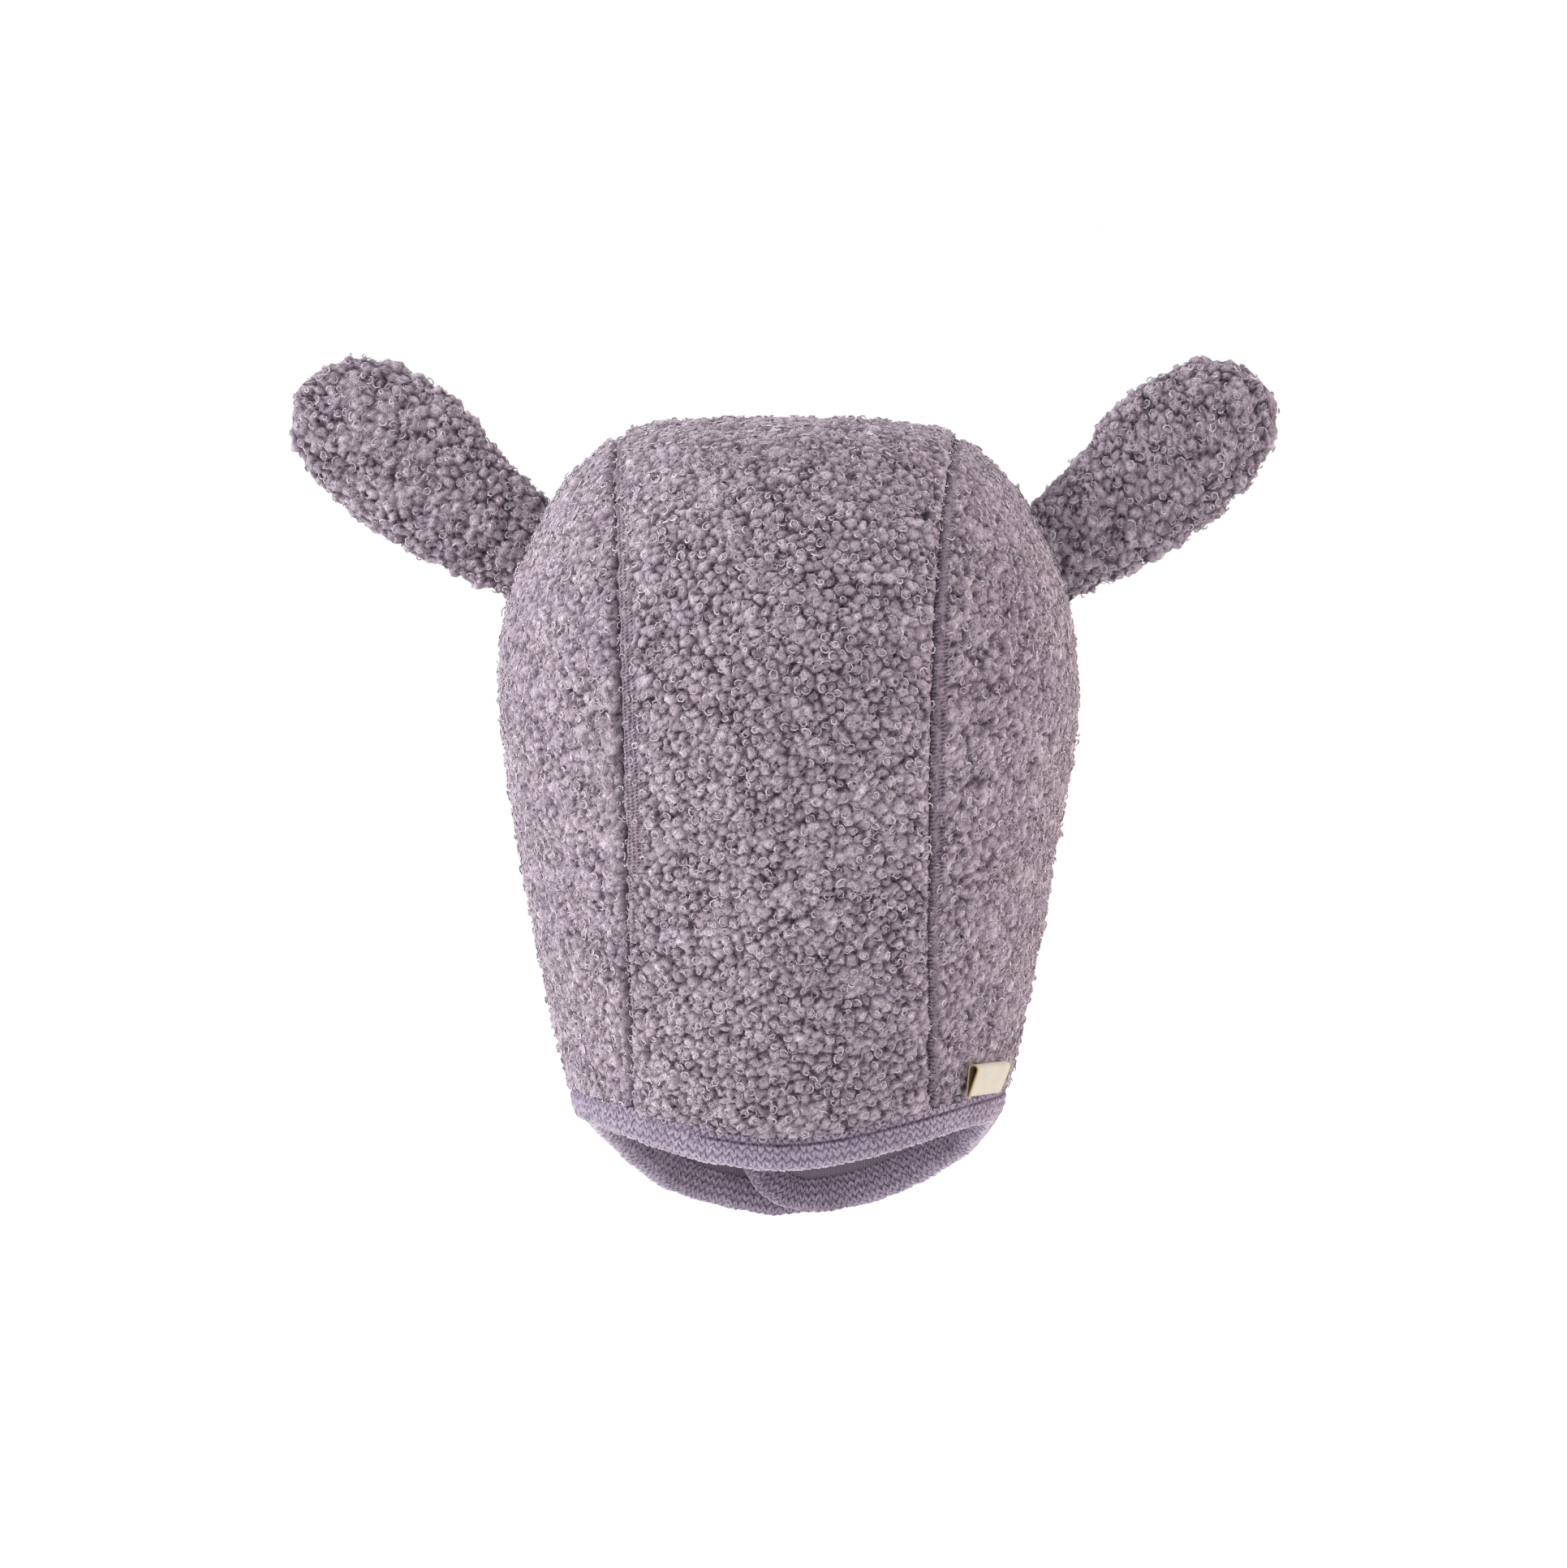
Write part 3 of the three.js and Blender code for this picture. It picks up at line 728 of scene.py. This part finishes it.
def knit_material():
    """The violet knit band: painted shade between its stitches, pale fuzz and a painted highlight where it
    folds.
    """
    made = Nodes("knit_binding")
    fuzz = made.noise(0.5, 3, 0.65)
    aside = made.vary(made.attribute("along"), made.noise(2.6, 1), 1.9)
    wale = made.math("FRACT", made.math("MULTIPLY", aside, 1 / KNIT_WIDE))
    leg = made.math("ABSOLUTE", made.math("SUBTRACT", wale, 0.5))
    higher = made.vary(made.attribute("across"), made.noise(3.1, 1), 2.2)
    stitch = made.wave("COSINE", made.plus(made.math("MULTIPLY", leg, KNIT_SLANT), higher, 1 / KNIT_TALL))
    between = made.math("POWER", made.plus(0.5, stitch, -0.5), 2.4)
    middle = made.math("MULTIPLY", made.ridge(leg, 0, 0.08), 0.5)
    gap = made.math("MAXIMUM", made.ridge(leg, 0.5, 0.1), middle)
    # Darker between the stitches and along the gaps between wales: painted shade.
    knit = made.plus(made.plus(0.4, between, -1.0), gap, -0.6)
    value = made.vary(made.plus(0.6, knit, 0.3), fuzz, 1.0)
    value = made.vary(value, made.noise(14, 1), 0.25)
    value = made.plus(value, made.attribute("seam_line"), -0.5)
    # Lighter along the fold: pale fuzz and a painted highlight.
    value = made.plus(value, made.attribute("fold_fuzz_and_highlight"), 0.36)
    colour = made.ramp(value, [
        (0.0, (42, 32, 44)),
        (0.3, (88, 75, 93)),
        (0.6, (133, 120, 140)),
        (1.0, (192, 181, 195)),
    ])
    made.bump(made.plus(fuzz, knit, 0.6), 0.5)
    return made.finish(colour, 0.92, sheen=0.3, sheen_tint=(228, 220, 234), specular=0.1)


def lining_material():
    """Dark smooth jersey with fine ribs."""
    made = Nodes("lining_jersey")
    rib = made.wave("SINE", made.attribute("across"))
    fuzz = made.noise(0.6, 3, 0.6)
    value = made.vary(made.plus(0.5, rib, 0.12), fuzz, 0.5)
    colour = made.ramp(value, [(0.0, (80, 69, 82)), (0.5, (112, 101, 115)), (1.0, (144, 132, 145))])
    made.bump(made.plus(fuzz, rib, 0.5), 0.2, 0.6)
    return made.finish(colour, 0.9, sheen=0.25, specular=0.15)


WEAVE_PITCH = 0.4


def tape_material():
    """Cream woven tape with a golden selvedge, and painted shadow in brown on its inside."""
    made = Nodes("label_tape")
    across, along = (made.wave("SINE", made.attribute(name), WEAVE_PITCH) for name in ("across", "along"))
    weave = made.math("MULTIPLY", across, along)
    value = made.vary(made.plus(0.55, weave, 0.12), made.noise(3.5, 2), 0.5)
    cream = made.ramp(value, [(0.0, (166, 160, 147)), (0.5, (184, 178, 165)), (1.0, (198, 193, 181))])
    edged = made.mix(made.math("MULTIPLY", made.attribute("selvedge"), 0.7), cream, linear((176, 146, 84)))
    # The inner faces of the loop are painted brown: painted shadow inside the fold.
    colour = made.mix(made.attribute("inside"), edged, linear((112, 84, 48)))
    made.bump(weave, 0.08, 0.8)
    return made.finish(colour, 0.75, sheen=0.15, specular=0.3)


def fastener_material():
    """The hidden patch between the tabs: soft hooked tape."""
    made = Nodes("fastener")
    hooks = made.noise(0.7, 2, 0.7)
    colour = made.ramp(hooks, [(0.3, (104, 96, 108)), (0.7, (150, 142, 154))])
    made.bump(hooks, 0.4)
    return made.finish(colour, 0.85, specular=0.3)


# Pieces

EDGE = rim(1.0)


def section_value(x, y, drop, margin=0):
    """Below 1 inside the form's section at a drop and above 1 outside it. A margin shrinks the section."""
    half, back, front = (np.interp(drop, FINE_LEVELS[:, 0], FINE_LEVELS[:, k]) - margin for k in (1, 2, 3))
    reach = np.where(y < 0, back, front)
    across = np.abs(x) / np.maximum(half, 1e-6)
    along = np.abs(y) / np.maximum(reach, 1e-6)
    return across**SQUARENESS + along**SQUARENESS


HUB_REACH = (15.0, 150.0)
HALVINGS = 30
PANEL_CLEAR = 0.2
FINE_TURNS = 2000
NEAR_PANEL = 52
BROW_ABOVE = -100


def ray_place(x, turn):
    """The surface in the slice at x, at a turn round the hub line: 0 is straight up, positive to the face."""
    low, high = (np.full(x.shape, reach) for reach in HUB_REACH)
    sin, cos = np.sin(turn), np.cos(turn)
    for _ in range(HALVINGS):
        middle = (low + high) / 2
        drop = CROWN_Z - (HUB_Z + middle * cos)
        outside = (drop < 0) | (section_value(x, middle * sin, drop) > 1)
        high = np.where(outside, middle, high)
        low = np.where(outside, low, middle)
    return np.stack([x, low * sin, HUB_Z + low * cos], -1)


def centre_place(share, turn):
    """A place on the centre panel, from its share of the way from the middle to a seam, and its turn."""
    x = share * SEAM["crown"]
    for _ in range(4):
        point = ray_place(x, turn)
        x = share * (seam_half(CROWN_Z - point[..., 2]) - PANEL_CLEAR)
    return ray_place(x, turn)


def centre_base(spacing):
    """The centre panel's smooth surface: points, normals and faces.

    Then how far each point is from a seam, along the panel and from an end, and the panel's length.
    """
    points, _, into, _ = EDGE
    inner = points + into * CLOTH_END
    near = np.abs(inner[:, 0]) < NEAR_PANEL
    limits = []
    for chosen in (near & (inner[:, 1] > 0) & (inner[:, 2] > BROW_ABOVE), near & (inner[:, 1] < 0)):
        part = inner[chosen]
        part = part[np.argsort(part[:, 0])]
        limits.append((part[:, 0], np.arctan2(part[:, 1], part[:, 2] - HUB_Z)))
    turns = np.linspace(limits[0][1].max(), limits[1][1].min(), FINE_TURNS)
    lengths = lengths_along(ray_place(np.zeros(FINE_TURNS), turns))
    length = lengths[-1]
    rows, columns = round(length / spacing) + 1, round(2 * SEAM["crown"] / spacing) + 1
    share = np.linspace(-1, 1, columns)
    start, end = (np.interp(share * seam_half(90), *limit) for limit in limits)
    s0, s1 = (np.interp(-turn, -turns, lengths) for turn in (start, end))
    s = s0[None] + (s1 - s0)[None] * np.linspace(0, 1, rows)[:, None]
    turn = np.interp(s, lengths, turns)
    share = np.broadcast_to(share, turn.shape)
    base = centre_place(share, turn)
    down, side = np.gradient(base, axis=0), np.gradient(base, axis=1)
    outs = unit(np.cross(side, down)) * -1
    outs *= np.sign((outs * (base - [0, 0, HUB_Z])).sum(-1, keepdims=True))
    from_seam = (1 - np.abs(share)) * seam_half(CROWN_Z - base[..., 2])
    from_end = np.minimum(s - s0[None], s1[None] - s)
    faces = grid_faces(rows, columns)
    flat = [a.reshape(-1) for a in (from_seam, s, from_end)]
    return base.reshape(-1, 3), outs.reshape(-1, 3), faces[:, ::-1], *flat, length


CENTRE_SPACING = 0.66
CENTRE_PROUD = 1.2

# drop, width of the flat sewn band on the centre panel at the left seam, on the side panel at the right seam
BANDS = np.array([
    (0, 3.4, 1.2),
    (14, 4.2, 1.8),
    (26, 4.4, 2.8),
    (60, 4.6, 3.3),
    (75, 5.6, 3.3),
    (112, 5.6, 3.3),
    (124, 2.0, 3.0),
    (150, 1.5, 2.2),
    (200, 1.7, 1.8),
])
CLOSE_CURLS = 0.5
GROOVES = {"left": 2.0, "right": 1.1}


def band_width(points, column):
    return np.interp(CROWN_Z - points[:, 2], BANDS[:, 0], BANDS[:, column])


def worn_share(points, seed):
    """How flat the sewn bands lie, spot by spot: a few curls stand up between the stitches."""
    return np.clip(0.86 + 0.4 * soft_noise(points, 2.9, seed), 0.35, 1)


def centre_panel(material):
    base, outs, faces, from_seam, along, from_end, length = centre_base(CENTRE_SPACING)
    left = base[:, 0] < 0
    band = np.where(left, band_width(base, 1), CLOSE_CURLS)
    band = band + 0.4 * soft_noise(base, 9, 41) + 0.8 * soft_noise(base, 3.4, 42)
    plain = (1 - smooth(from_seam, band - 0.4, band + 0.4)) * worn_share(base, 47)
    groove = np.exp(-((from_seam / (0.7 + 0.3 * soft_noise(base, 4, 43))) ** 2))
    groove = groove * np.where(left, GROOVES["left"], GROOVES["right"]) * (1 + 0.4 * soft_noise(base, 6, 45))
    proud = CENTRE_PROUD * (1 - 0.5 * np.exp(-((from_seam / 2.5) ** 2)))
    sink = groove + 0.5 * plain - proud + 1.1 * np.exp(-((from_end / 1.4) ** 2))
    extra = {"column": from_seam / STITCH_COLUMN, "along": along, "sewn": plain * smooth(from_seam, 0.1, 0.6)}
    cloth, loops = wool_piece("centre_panel", material, base, outs, faces, plain, sink, extra)


SIDE_GRID = {"from": 14, "to": 200 * MM_PER_DEGREE, "top_drop": 2.5, "spacing": 0.77}


def side_panel(side, material):
    name = "side_panel_right" if side > 0 else "side_panel_left"
    outline = half_outline(side)
    spacing = SIDE_GRID["spacing"]

    def place(flat):
        return form_point(flat[:, 0] / MM_PER_DEGREE, number_at_length(flat[:, 1]), side)

    def inside(flat):
        return np.minimum(distance_inside(flat, outline), seam_distance(place(flat), side) - CLEAR)

    across = np.arange(SIDE_GRID["from"], SIDE_GRID["to"], spacing)
    top = np.interp(level_number(SIDE_GRID["top_drop"]), FINE_NUMBERS, SIDE_LENGTHS)
    down = np.arange(top, outline[:, 1].max() + 1, spacing)
    flat, faces = trimmed(across, down, inside)
    base = place(flat)
    outs = form_normal(flat[:, 0] / MM_PER_DEGREE, number_at_length(flat[:, 1]), side)
    if side > 0:
        faces = faces[:, ::-1]
    from_seam = np.maximum(seam_distance(base, side), 0)
    strip = CLOSE_CURLS if side < 0 else band_width(base, 2)
    strip = strip + 0.8 * soft_noise(base, 4.5, 44)
    plain = (1 - smooth(from_seam, strip - 0.4, strip + 0.4)) * worn_share(base, 48)
    depth = GROOVES["left" if side < 0 else "right"] * (1 + 0.4 * soft_noise(base, 6, 46))
    sink = depth * np.exp(-((from_seam / 0.8) ** 2)) + 0.2 * plain
    extra = {"column": 0.5 + from_seam / TWIN_LINES, "along": flat[:, 1], "sewn": plain * (side > 0) * 0.8}
    cloth, loops = wool_piece(name, material, base, outs, faces, plain, sink, extra)
    width, height = (np.ptp(flat[:, k]) for k in (0, 1))
    edges = [base[faces[:, k]] for k in range(4)]
    area = np.linalg.norm(np.cross(edges[2] - edges[0], edges[3] - edges[1]), axis=1).sum() / 2
    area = min(area, width * height) * MM * MM


LINING_UNDER_BINDING = 1.5
LINING_JOINED_TO = 130
LINING_GRID = {"columns": 91, "past_middle": 9, "from": 0.6, "rows_apart": 2.6}


def lining(material):
    """The jersey layer, in one closed sheet for each half, joined in one piece."""
    vertices, faces_all, across_all, count = [], [], [], 0
    for side in (1, -1):
        outline = half_outline(side, BINDING_WIDTH - LINING_UNDER_BINDING)

        def inside(flat):
            to_middle = np.where(flat[:, 1] < LINING_JOINED_TO, CHART_FRONT - flat[:, 0], FAR)
            return np.minimum(distance_inside(flat, outline), to_middle + 0.01)

        across = np.linspace(0, CHART_FRONT, LINING_GRID["columns"])
        past = across[1] * np.arange(1, LINING_GRID["past_middle"] + 1)
        across = np.concatenate([across, across[-1] + past])
        down = np.arange(LINING_GRID["from"], outline[:, 1].max() + 3, LINING_GRID["rows_apart"])
        flat, faces = trimmed(across, down, inside)
        angle, number = flat[:, 0] / MM_PER_DEGREE, number_at_length(flat[:, 1])
        base, outs = form_point(angle, number, side), form_normal(angle, number, side)
        if side > 0:
            faces = faces[:, ::-1]
        joined, faces = two_sided(base - outs * LINING_DEPTH, base - outs * WALL, faces)
        vertices.append(joined)
        faces_all.append(faces + count)
        across_all.append(np.tile(flat[:, 0], 2))
        count += len(joined)
    vertices, faces, across = (np.concatenate(parts) for parts in (vertices, faces_all, across_all))
    obj = piece("lining_cloth", vertices, faces, material, {"across": across}, "lining_jersey", "lining")


KNIT_WIDE = 2.3
KNIT_TALL = 2.4
KNIT_SLANT = 1.25
STITCHED_AT = 6.9
BINDING_SPACING = 0.52
SECTION_POINTS = 42


def knit_relief(along, across):
    """Height of rows of knit stitches, each a pair of slanted legs, in wales across the band."""
    leg = np.abs((along / KNIT_WIDE) % 1 - 0.5)
    ridge = np.cos((across / KNIT_TALL + KNIT_SLANT * leg) * TURN)
    between = np.exp(-(((0.5 - leg) / 0.1) ** 2))
    middle = np.exp(-((leg / 0.08) ** 2))
    return 0.24 * ridge - 0.22 * between - 0.12 * middle


def binding_section():
    """The band's section round the hat's edge: places along it, how far in, how deep, and the way out."""
    lip = WALL + CLEAR
    corners = np.array([
        (9, 1.5), (9.05, 0.6), (8.6, 0.0), (6.8, -0.5), (4.5, -0.85), (2.2, -0.75), (0.7, -0.3), (-0.1, 0.8),
        (-0.3, 0.45 * lip), (-0.1, 0.8 * lip), (0.7, lip + 0.1), (2.2, lip + 0.45), (4.5, lip + 0.5),
        (6.8, lip + 0.4), (8.6, lip + 0.1), (9.05, lip - 0.6),
    ])
    steps = lengths_along(corners)
    across = np.linspace(0, steps[-1], SECTION_POINTS)
    section = np.stack([np.interp(across, steps, corners[:, k]) for k in (0, 1)], -1)
    for _ in range(2):
        section[1:-1] = (section[:-2] + 2 * section[1:-1] + section[2:]) / 4
    way = unit(np.gradient(section, axis=0))
    face_out = np.stack([-way[:, 1], way[:, 0]], -1)
    if face_out[len(section) // 2, 0] > 0:
        face_out = -face_out
    return across, section[:, 0], section[:, 1], face_out


def edge_binding(material):
    """The knit band folded over the hat's edge."""
    points, outs, into, length = rim(BINDING_SPACING)
    points, outs, into = (np.concatenate([a, a[:1]]) for a in (points, outs, into))
    length = round(length / KNIT_WIDE) * KNIT_WIDE
    across, wide, deep, face_out = binding_section()
    a, c = np.meshgrid(np.linspace(0, length, len(points)), across, indexing="ij")
    irregular = 0.3 * soft_noise(points, 7, 71)[:, None]
    a, c = a + irregular, c + irregular
    seam_at = across[np.argmin(np.abs(wide - STITCHED_AT) + (deep > 1) * FAR)]
    sewn = np.clip(smooth(points[:, 0], -26, -14) * (points[:, 1] < 0) + 0.15, 0, 1)
    dashes = 0.85 + 0.15 * np.cos(a * TURN / KNIT_WIDE)
    seam_line = np.exp(-(((c - irregular - seam_at) / 0.32) ** 2)) * sewn[:, None] * dashes
    relief = knit_relief(a, c) - 0.5 * seam_line
    near_edge = smooth(wide, 9, 2)[None]
    wave = 0.3 * soft_noise(points, 17, 72) + 0.2 * soft_noise(points, 6, 73)
    scallop = 0.4 * np.abs(np.cos(a * math.pi / KNIT_WIDE)) * smooth(wide, 2.2, 0.2)[None]
    w = wide[None] + face_out[None, :, 0] * relief - wave[:, None] * near_edge - scallop
    d = deep[None] + face_out[None, :, 1] * relief - (0.3 * soft_noise(points, 21, 74))[:, None] * near_edge
    vertices = points[:, None] + into[:, None] * w[..., None] - outs[:, None] * d[..., None]
    edge_at = across[np.argmin(wide)]
    # Where the band turns over the edge: pale fuzz and a painted highlight along the fold.
    fold_fuzz_and_highlight = np.exp(-(((c - edge_at + 1.4) / 1.3) ** 2))
    values = {"along": a, "across": c, "seam_line": seam_line, "fold_fuzz_and_highlight": fold_fuzz_and_highlight}
    faces = grid_faces(*a.shape)[:, ::-1]
    obj = piece("edge_binding_knit", vertices, faces, material, values, "knit_binding", "edge_binding")


def ear_rows(spacing, length):
    """The rows of EAR_ROWS joined by a smooth curve, evenly along the ear."""
    reach = np.linspace(EAR_ROWS[0, 0], 1, round(1.14 * length / spacing) + 1)
    slopes = np.gradient(EAR_ROWS[:, 1:], EAR_ROWS[:, 0], axis=0)
    slopes[-1] *= 0
    at = np.clip(np.searchsorted(EAR_ROWS[:, 0], reach, side="right") - 1, 0, len(EAR_ROWS) - 2)
    low, high = EAR_ROWS[at, 0], EAR_ROWS[at + 1, 0]
    gap = (high - low)[:, None]
    t = ((reach - low) / (high - low))[:, None]
    start, end = EAR_ROWS[at, 1:], EAR_ROWS[at + 1, 1:]
    linear_part = start + (end - start) * t
    curved = (2 * t**3 - 3 * t**2 + 1) * start + (t**3 - 2 * t**2 + t) * gap * slopes[at]
    curved += (-2 * t**3 + 3 * t**2) * end + (t**3 - t**2) * gap * slopes[at + 1]
    return reach, np.where((reach > 0.93)[:, None], linear_part, curved)


EAR_GRID = {"spacing": 0.6, "rows": 112, "round": 136}
EAR_BURIED = 2.5
EAR_PROUD = 0.25


def inside_form(points, margin):
    drop = CROWN_Z - points[..., 2]
    return (drop > 0) & (section_value(points[..., 0], points[..., 1], drop, margin) < 1)


def ear(name, material):
    """A padded ear, from just under the side panel's surface to its tip."""
    e = EARS[name]
    side, tilt = e["side"], math.radians(e["tilt"])
    along = np.array([side * math.cos(tilt), 0, math.sin(tilt)])
    up = np.array([-side * math.sin(tilt), 0, math.cos(tilt)])
    root = np.array([side * e["root_x"], EAR_Y, CROWN_Z - e["root_drop"]])
    reach, sizes = ear_rows(EAR_GRID["spacing"], e["length"])
    turn = np.linspace(0, TURN, EAR_GRID["round"], endpoint=False)
    upper, lower, thick = (sizes[:, k : k + 1] for k in range(3))
    height = e["wide"] * np.cos(turn) * np.where(np.cos(turn) > 0, upper, lower)
    raw = root + along * (reach * e["length"])[:, None, None] + up * height[..., None]
    raw[..., 1] += EAR_CUP * (reach * np.abs(reach))[:, None] + thick / 2 * np.sin(turn)
    first = np.clip(inside_form(raw, EAR_BURIED).cumprod(0).sum(0) - 1, 0, None)
    rows, columns = EAR_GRID["rows"], np.arange(len(turn))
    at = first + (len(reach) - 1 - first) * np.linspace(0, 1, rows)[:, None]
    low = np.clip(np.floor(at).astype(int), 0, len(reach) - 2)
    part = (at - low)[..., None]
    base = raw[low, columns] * (1 - part) + raw[low + 1, columns] * part
    down, around = np.gradient(base, axis=0), np.roll(base, -1, 1) - np.roll(base, 1, 1)
    outs = unit(np.cross(around, down))
    middle = base.mean(1, keepdims=True)
    outs *= np.where((outs * (base - middle)).sum((0, 1, 2)) < 0, -1, 1)
    outs[-1] = along
    faces = grid_faces(rows, len(turn), wrap=True)
    if side < 0:
        faces = faces[:, ::-1]
    base, outs = base.reshape(-1, 3), unit(outs.reshape(-1, 3))
    edge = np.repeat(np.linspace(0, 1, rows), len(turn))
    plain = np.where(edge > 0.995, 1.0, 0.0)
    sink = np.full(len(plain), -EAR_PROUD)
    extra = {"column": edge, "along": edge, "sewn": plain * 0}
    cloth, _ = wool_piece(name, material, base, outs, faces, plain, sink, extra, lumpy=0.6)


def tape_line():
    """The tape's middle line in its section, up one side, round the fold and down: how far aside and up."""
    middle = (LABEL["gape"] + TAPE) / 2
    shoulder = LABEL["tall"] - LABEL["gape"] / 2 - TAPE
    turn = np.linspace(0, math.pi, 15)
    rise = np.linspace(0, 1, 12, endpoint=False)
    right = np.stack([TAPE / 2 + (middle - TAPE / 2) * rise, shoulder * rise], -1)
    fold = np.stack([middle * np.cos(turn), shoulder + middle * np.sin(turn)], -1)
    left = np.stack([-right[::-1, 0], right[::-1, 1]], -1)
    return np.concatenate([right, fold, left])


def label_loop(material):
    """A tape folded over at the top, with its ends together above the binding."""
    tall, length = LABEL["tall"], LABEL["length"]
    angle = np.array(float(LABEL["angle"]))
    number = level_number(neck_drop(angle) - BINDING_WIDTH - LABEL["above"])
    out = form_normal(angle, number)
    foot = form_point(angle, number) + out * (LABEL["gape"] / 2 + TAPE + LABEL["off"])
    along = unit(np.cross([0, 0, 1], out))
    up = np.cross(out, along)
    line = tape_line()
    way = unit(np.gradient(line, axis=0))
    outer_way = np.stack([way[:, 1], -way[:, 0]], -1)
    ring = np.concatenate([line + outer_way * TAPE / 2, (line - outer_way * TAPE / 2)[::-1]])
    steps = np.linspace(0, 1, 42)
    place = (steps - LABEL["touch_at"]) * length
    bulge = 0.18 * np.sin(steps * 5.2 + 0.6) + 0.1 * np.sin(steps * 11)
    sag = 0.16 * np.sin(steps * 4.1)
    loop = (
        foot
        + out * (ring[None, :, :1] + (bulge[:, None] * ring[None, :, 1] / tall)[..., None])
        + up * (ring[None, :, 1:] * (1 + 0.02 * sag[:, None, None]))
        - along * place[:, None, None]
    )
    count, half = len(ring), len(line)
    ends = []
    for row in (0, len(steps) - 1):
        for k in range(half - 1):
            quad = [row * count + index for index in (k, k + 1, count - 2 - k, count - 1 - k)]
            ends.append(quad if row == 0 else quad[::-1])
    faces = np.concatenate([grid_faces(len(steps), count, wrap=True), ends])
    across = lengths_along(line)
    across = np.tile(np.concatenate([across, across[::-1]]), (len(steps), 1))
    side = np.broadcast_to((steps * length)[:, None], across.shape)
    # 1 on the loop's inner faces, where the material paints shadow.
    inner = np.tile(np.concatenate([np.zeros(half), np.ones(half)]), (len(steps), 1))
    selvedge = np.exp(-((side / 0.7) ** 2)) + np.exp(-(((length - side) / 0.7) ** 2))
    values = {"across": across, "along": side, "inside": inner, "selvedge": np.clip(selvedge, 0, 1)}
    obj = piece("label_loop_tape", loop, faces, material, values, "label_tape", "label_loop")


def tab_fastener(material):
    """The hidden patch between the tabs keeps its solid."""
    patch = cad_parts["tab_fastener"]
    patch.data.materials.clear()
    patch.data.materials.append(material)


# Camera, light and floor


def look(azimuth, elevation, distance, target, right_by, up_by, lens):
    a, e = math.radians(azimuth), math.radians(elevation)
    back = Vector((math.sin(a) * math.cos(e), -math.cos(a) * math.cos(e), math.sin(e)))
    right = Vector((math.cos(a), math.sin(a), 0))
    up = Vector((-math.sin(a) * math.sin(e), math.cos(a) * math.sin(e), math.cos(e)))
    camera = bpy.data.objects.new("camera", bpy.data.cameras.new("camera"))
    bpy.context.scene.collection.objects.link(camera)
    camera.location = Vector(target) + back * distance + right * right_by + up * up_by
    camera.rotation_euler = (-back).to_track_quat("-Z", "Y").to_euler()
    camera.data.sensor_fit = "HORIZONTAL"
    camera.data.sensor_width = 36
    camera.data.lens = lens
    bpy.context.scene.camera = camera


def soft_light(name, place, target, size, power, colour=(1, 1, 1)):
    data = bpy.data.lights.new(name, "AREA")
    data.color = colour
    data.shape = "SQUARE"
    data.size = size
    data.energy = power
    light = bpy.data.objects.new(name, data)
    light.location = place
    light.rotation_euler = (Vector(target) - Vector(place)).to_track_quat("-Z", "Y").to_euler()
    bpy.context.scene.collection.objects.link(light)


FLOOR = {"z": -0.30, "half": 6}


def floor_material():
    made = Nodes("floor")
    colour = made.ramp(made.noise(400, 1), [(0.0, (254, 254, 254)), (1.0, (255, 255, 255))])
    return made.finish(colour, 0.9)


def studio():
    centre = (0, 0, -0.095)
    soft_light("light_left", (-1.9, -0.55, 0.5), centre, 1.2, 41)
    soft_light("light_right", (1.8, 0.55, 0.2), centre, 1.2, 22, (1, 0.8, 0.66))
    soft_light("light_top", (0, 0.1, 1.9), centre, 1.4, 16)
    soft_light("light_back", (0.4, 1.9, 0.6), centre, 1.4, 14)
    world = bpy.data.worlds.new("studio")
    world.use_nodes = True
    world.node_tree.nodes["Background"].inputs["Color"].default_value = (1, 1, 1, 1)
    world.node_tree.nodes["Background"].inputs["Strength"].default_value = 1.0
    bpy.context.scene.world = world
    half = FLOOR["half"] / MM
    corners = [[x * half, y * half, FLOOR["z"] / MM] for x, y in ((-1, -1), (1, -1), (1, 1), (-1, 1))]
    floor = make_mesh("floor", corners, [[0, 1, 2, 3]], floor_material())
    bpy.context.scene.view_settings.view_transform = "Standard"


def build():
    look(2.5, 1, 1.6, (0, 0, -0.0932), -0.00142, 0.00218, 136.65)
    studio()
    wool = wool_material()
    centre_panel(wool)
    for side in (1, -1):
        side_panel(side, wool)
    for name in EARS:
        ear(name, wool)
    edge_binding(knit_material())
    lining(lining_material())
    label_loop(tape_material())
    tab_fastener(fastener_material())


build()
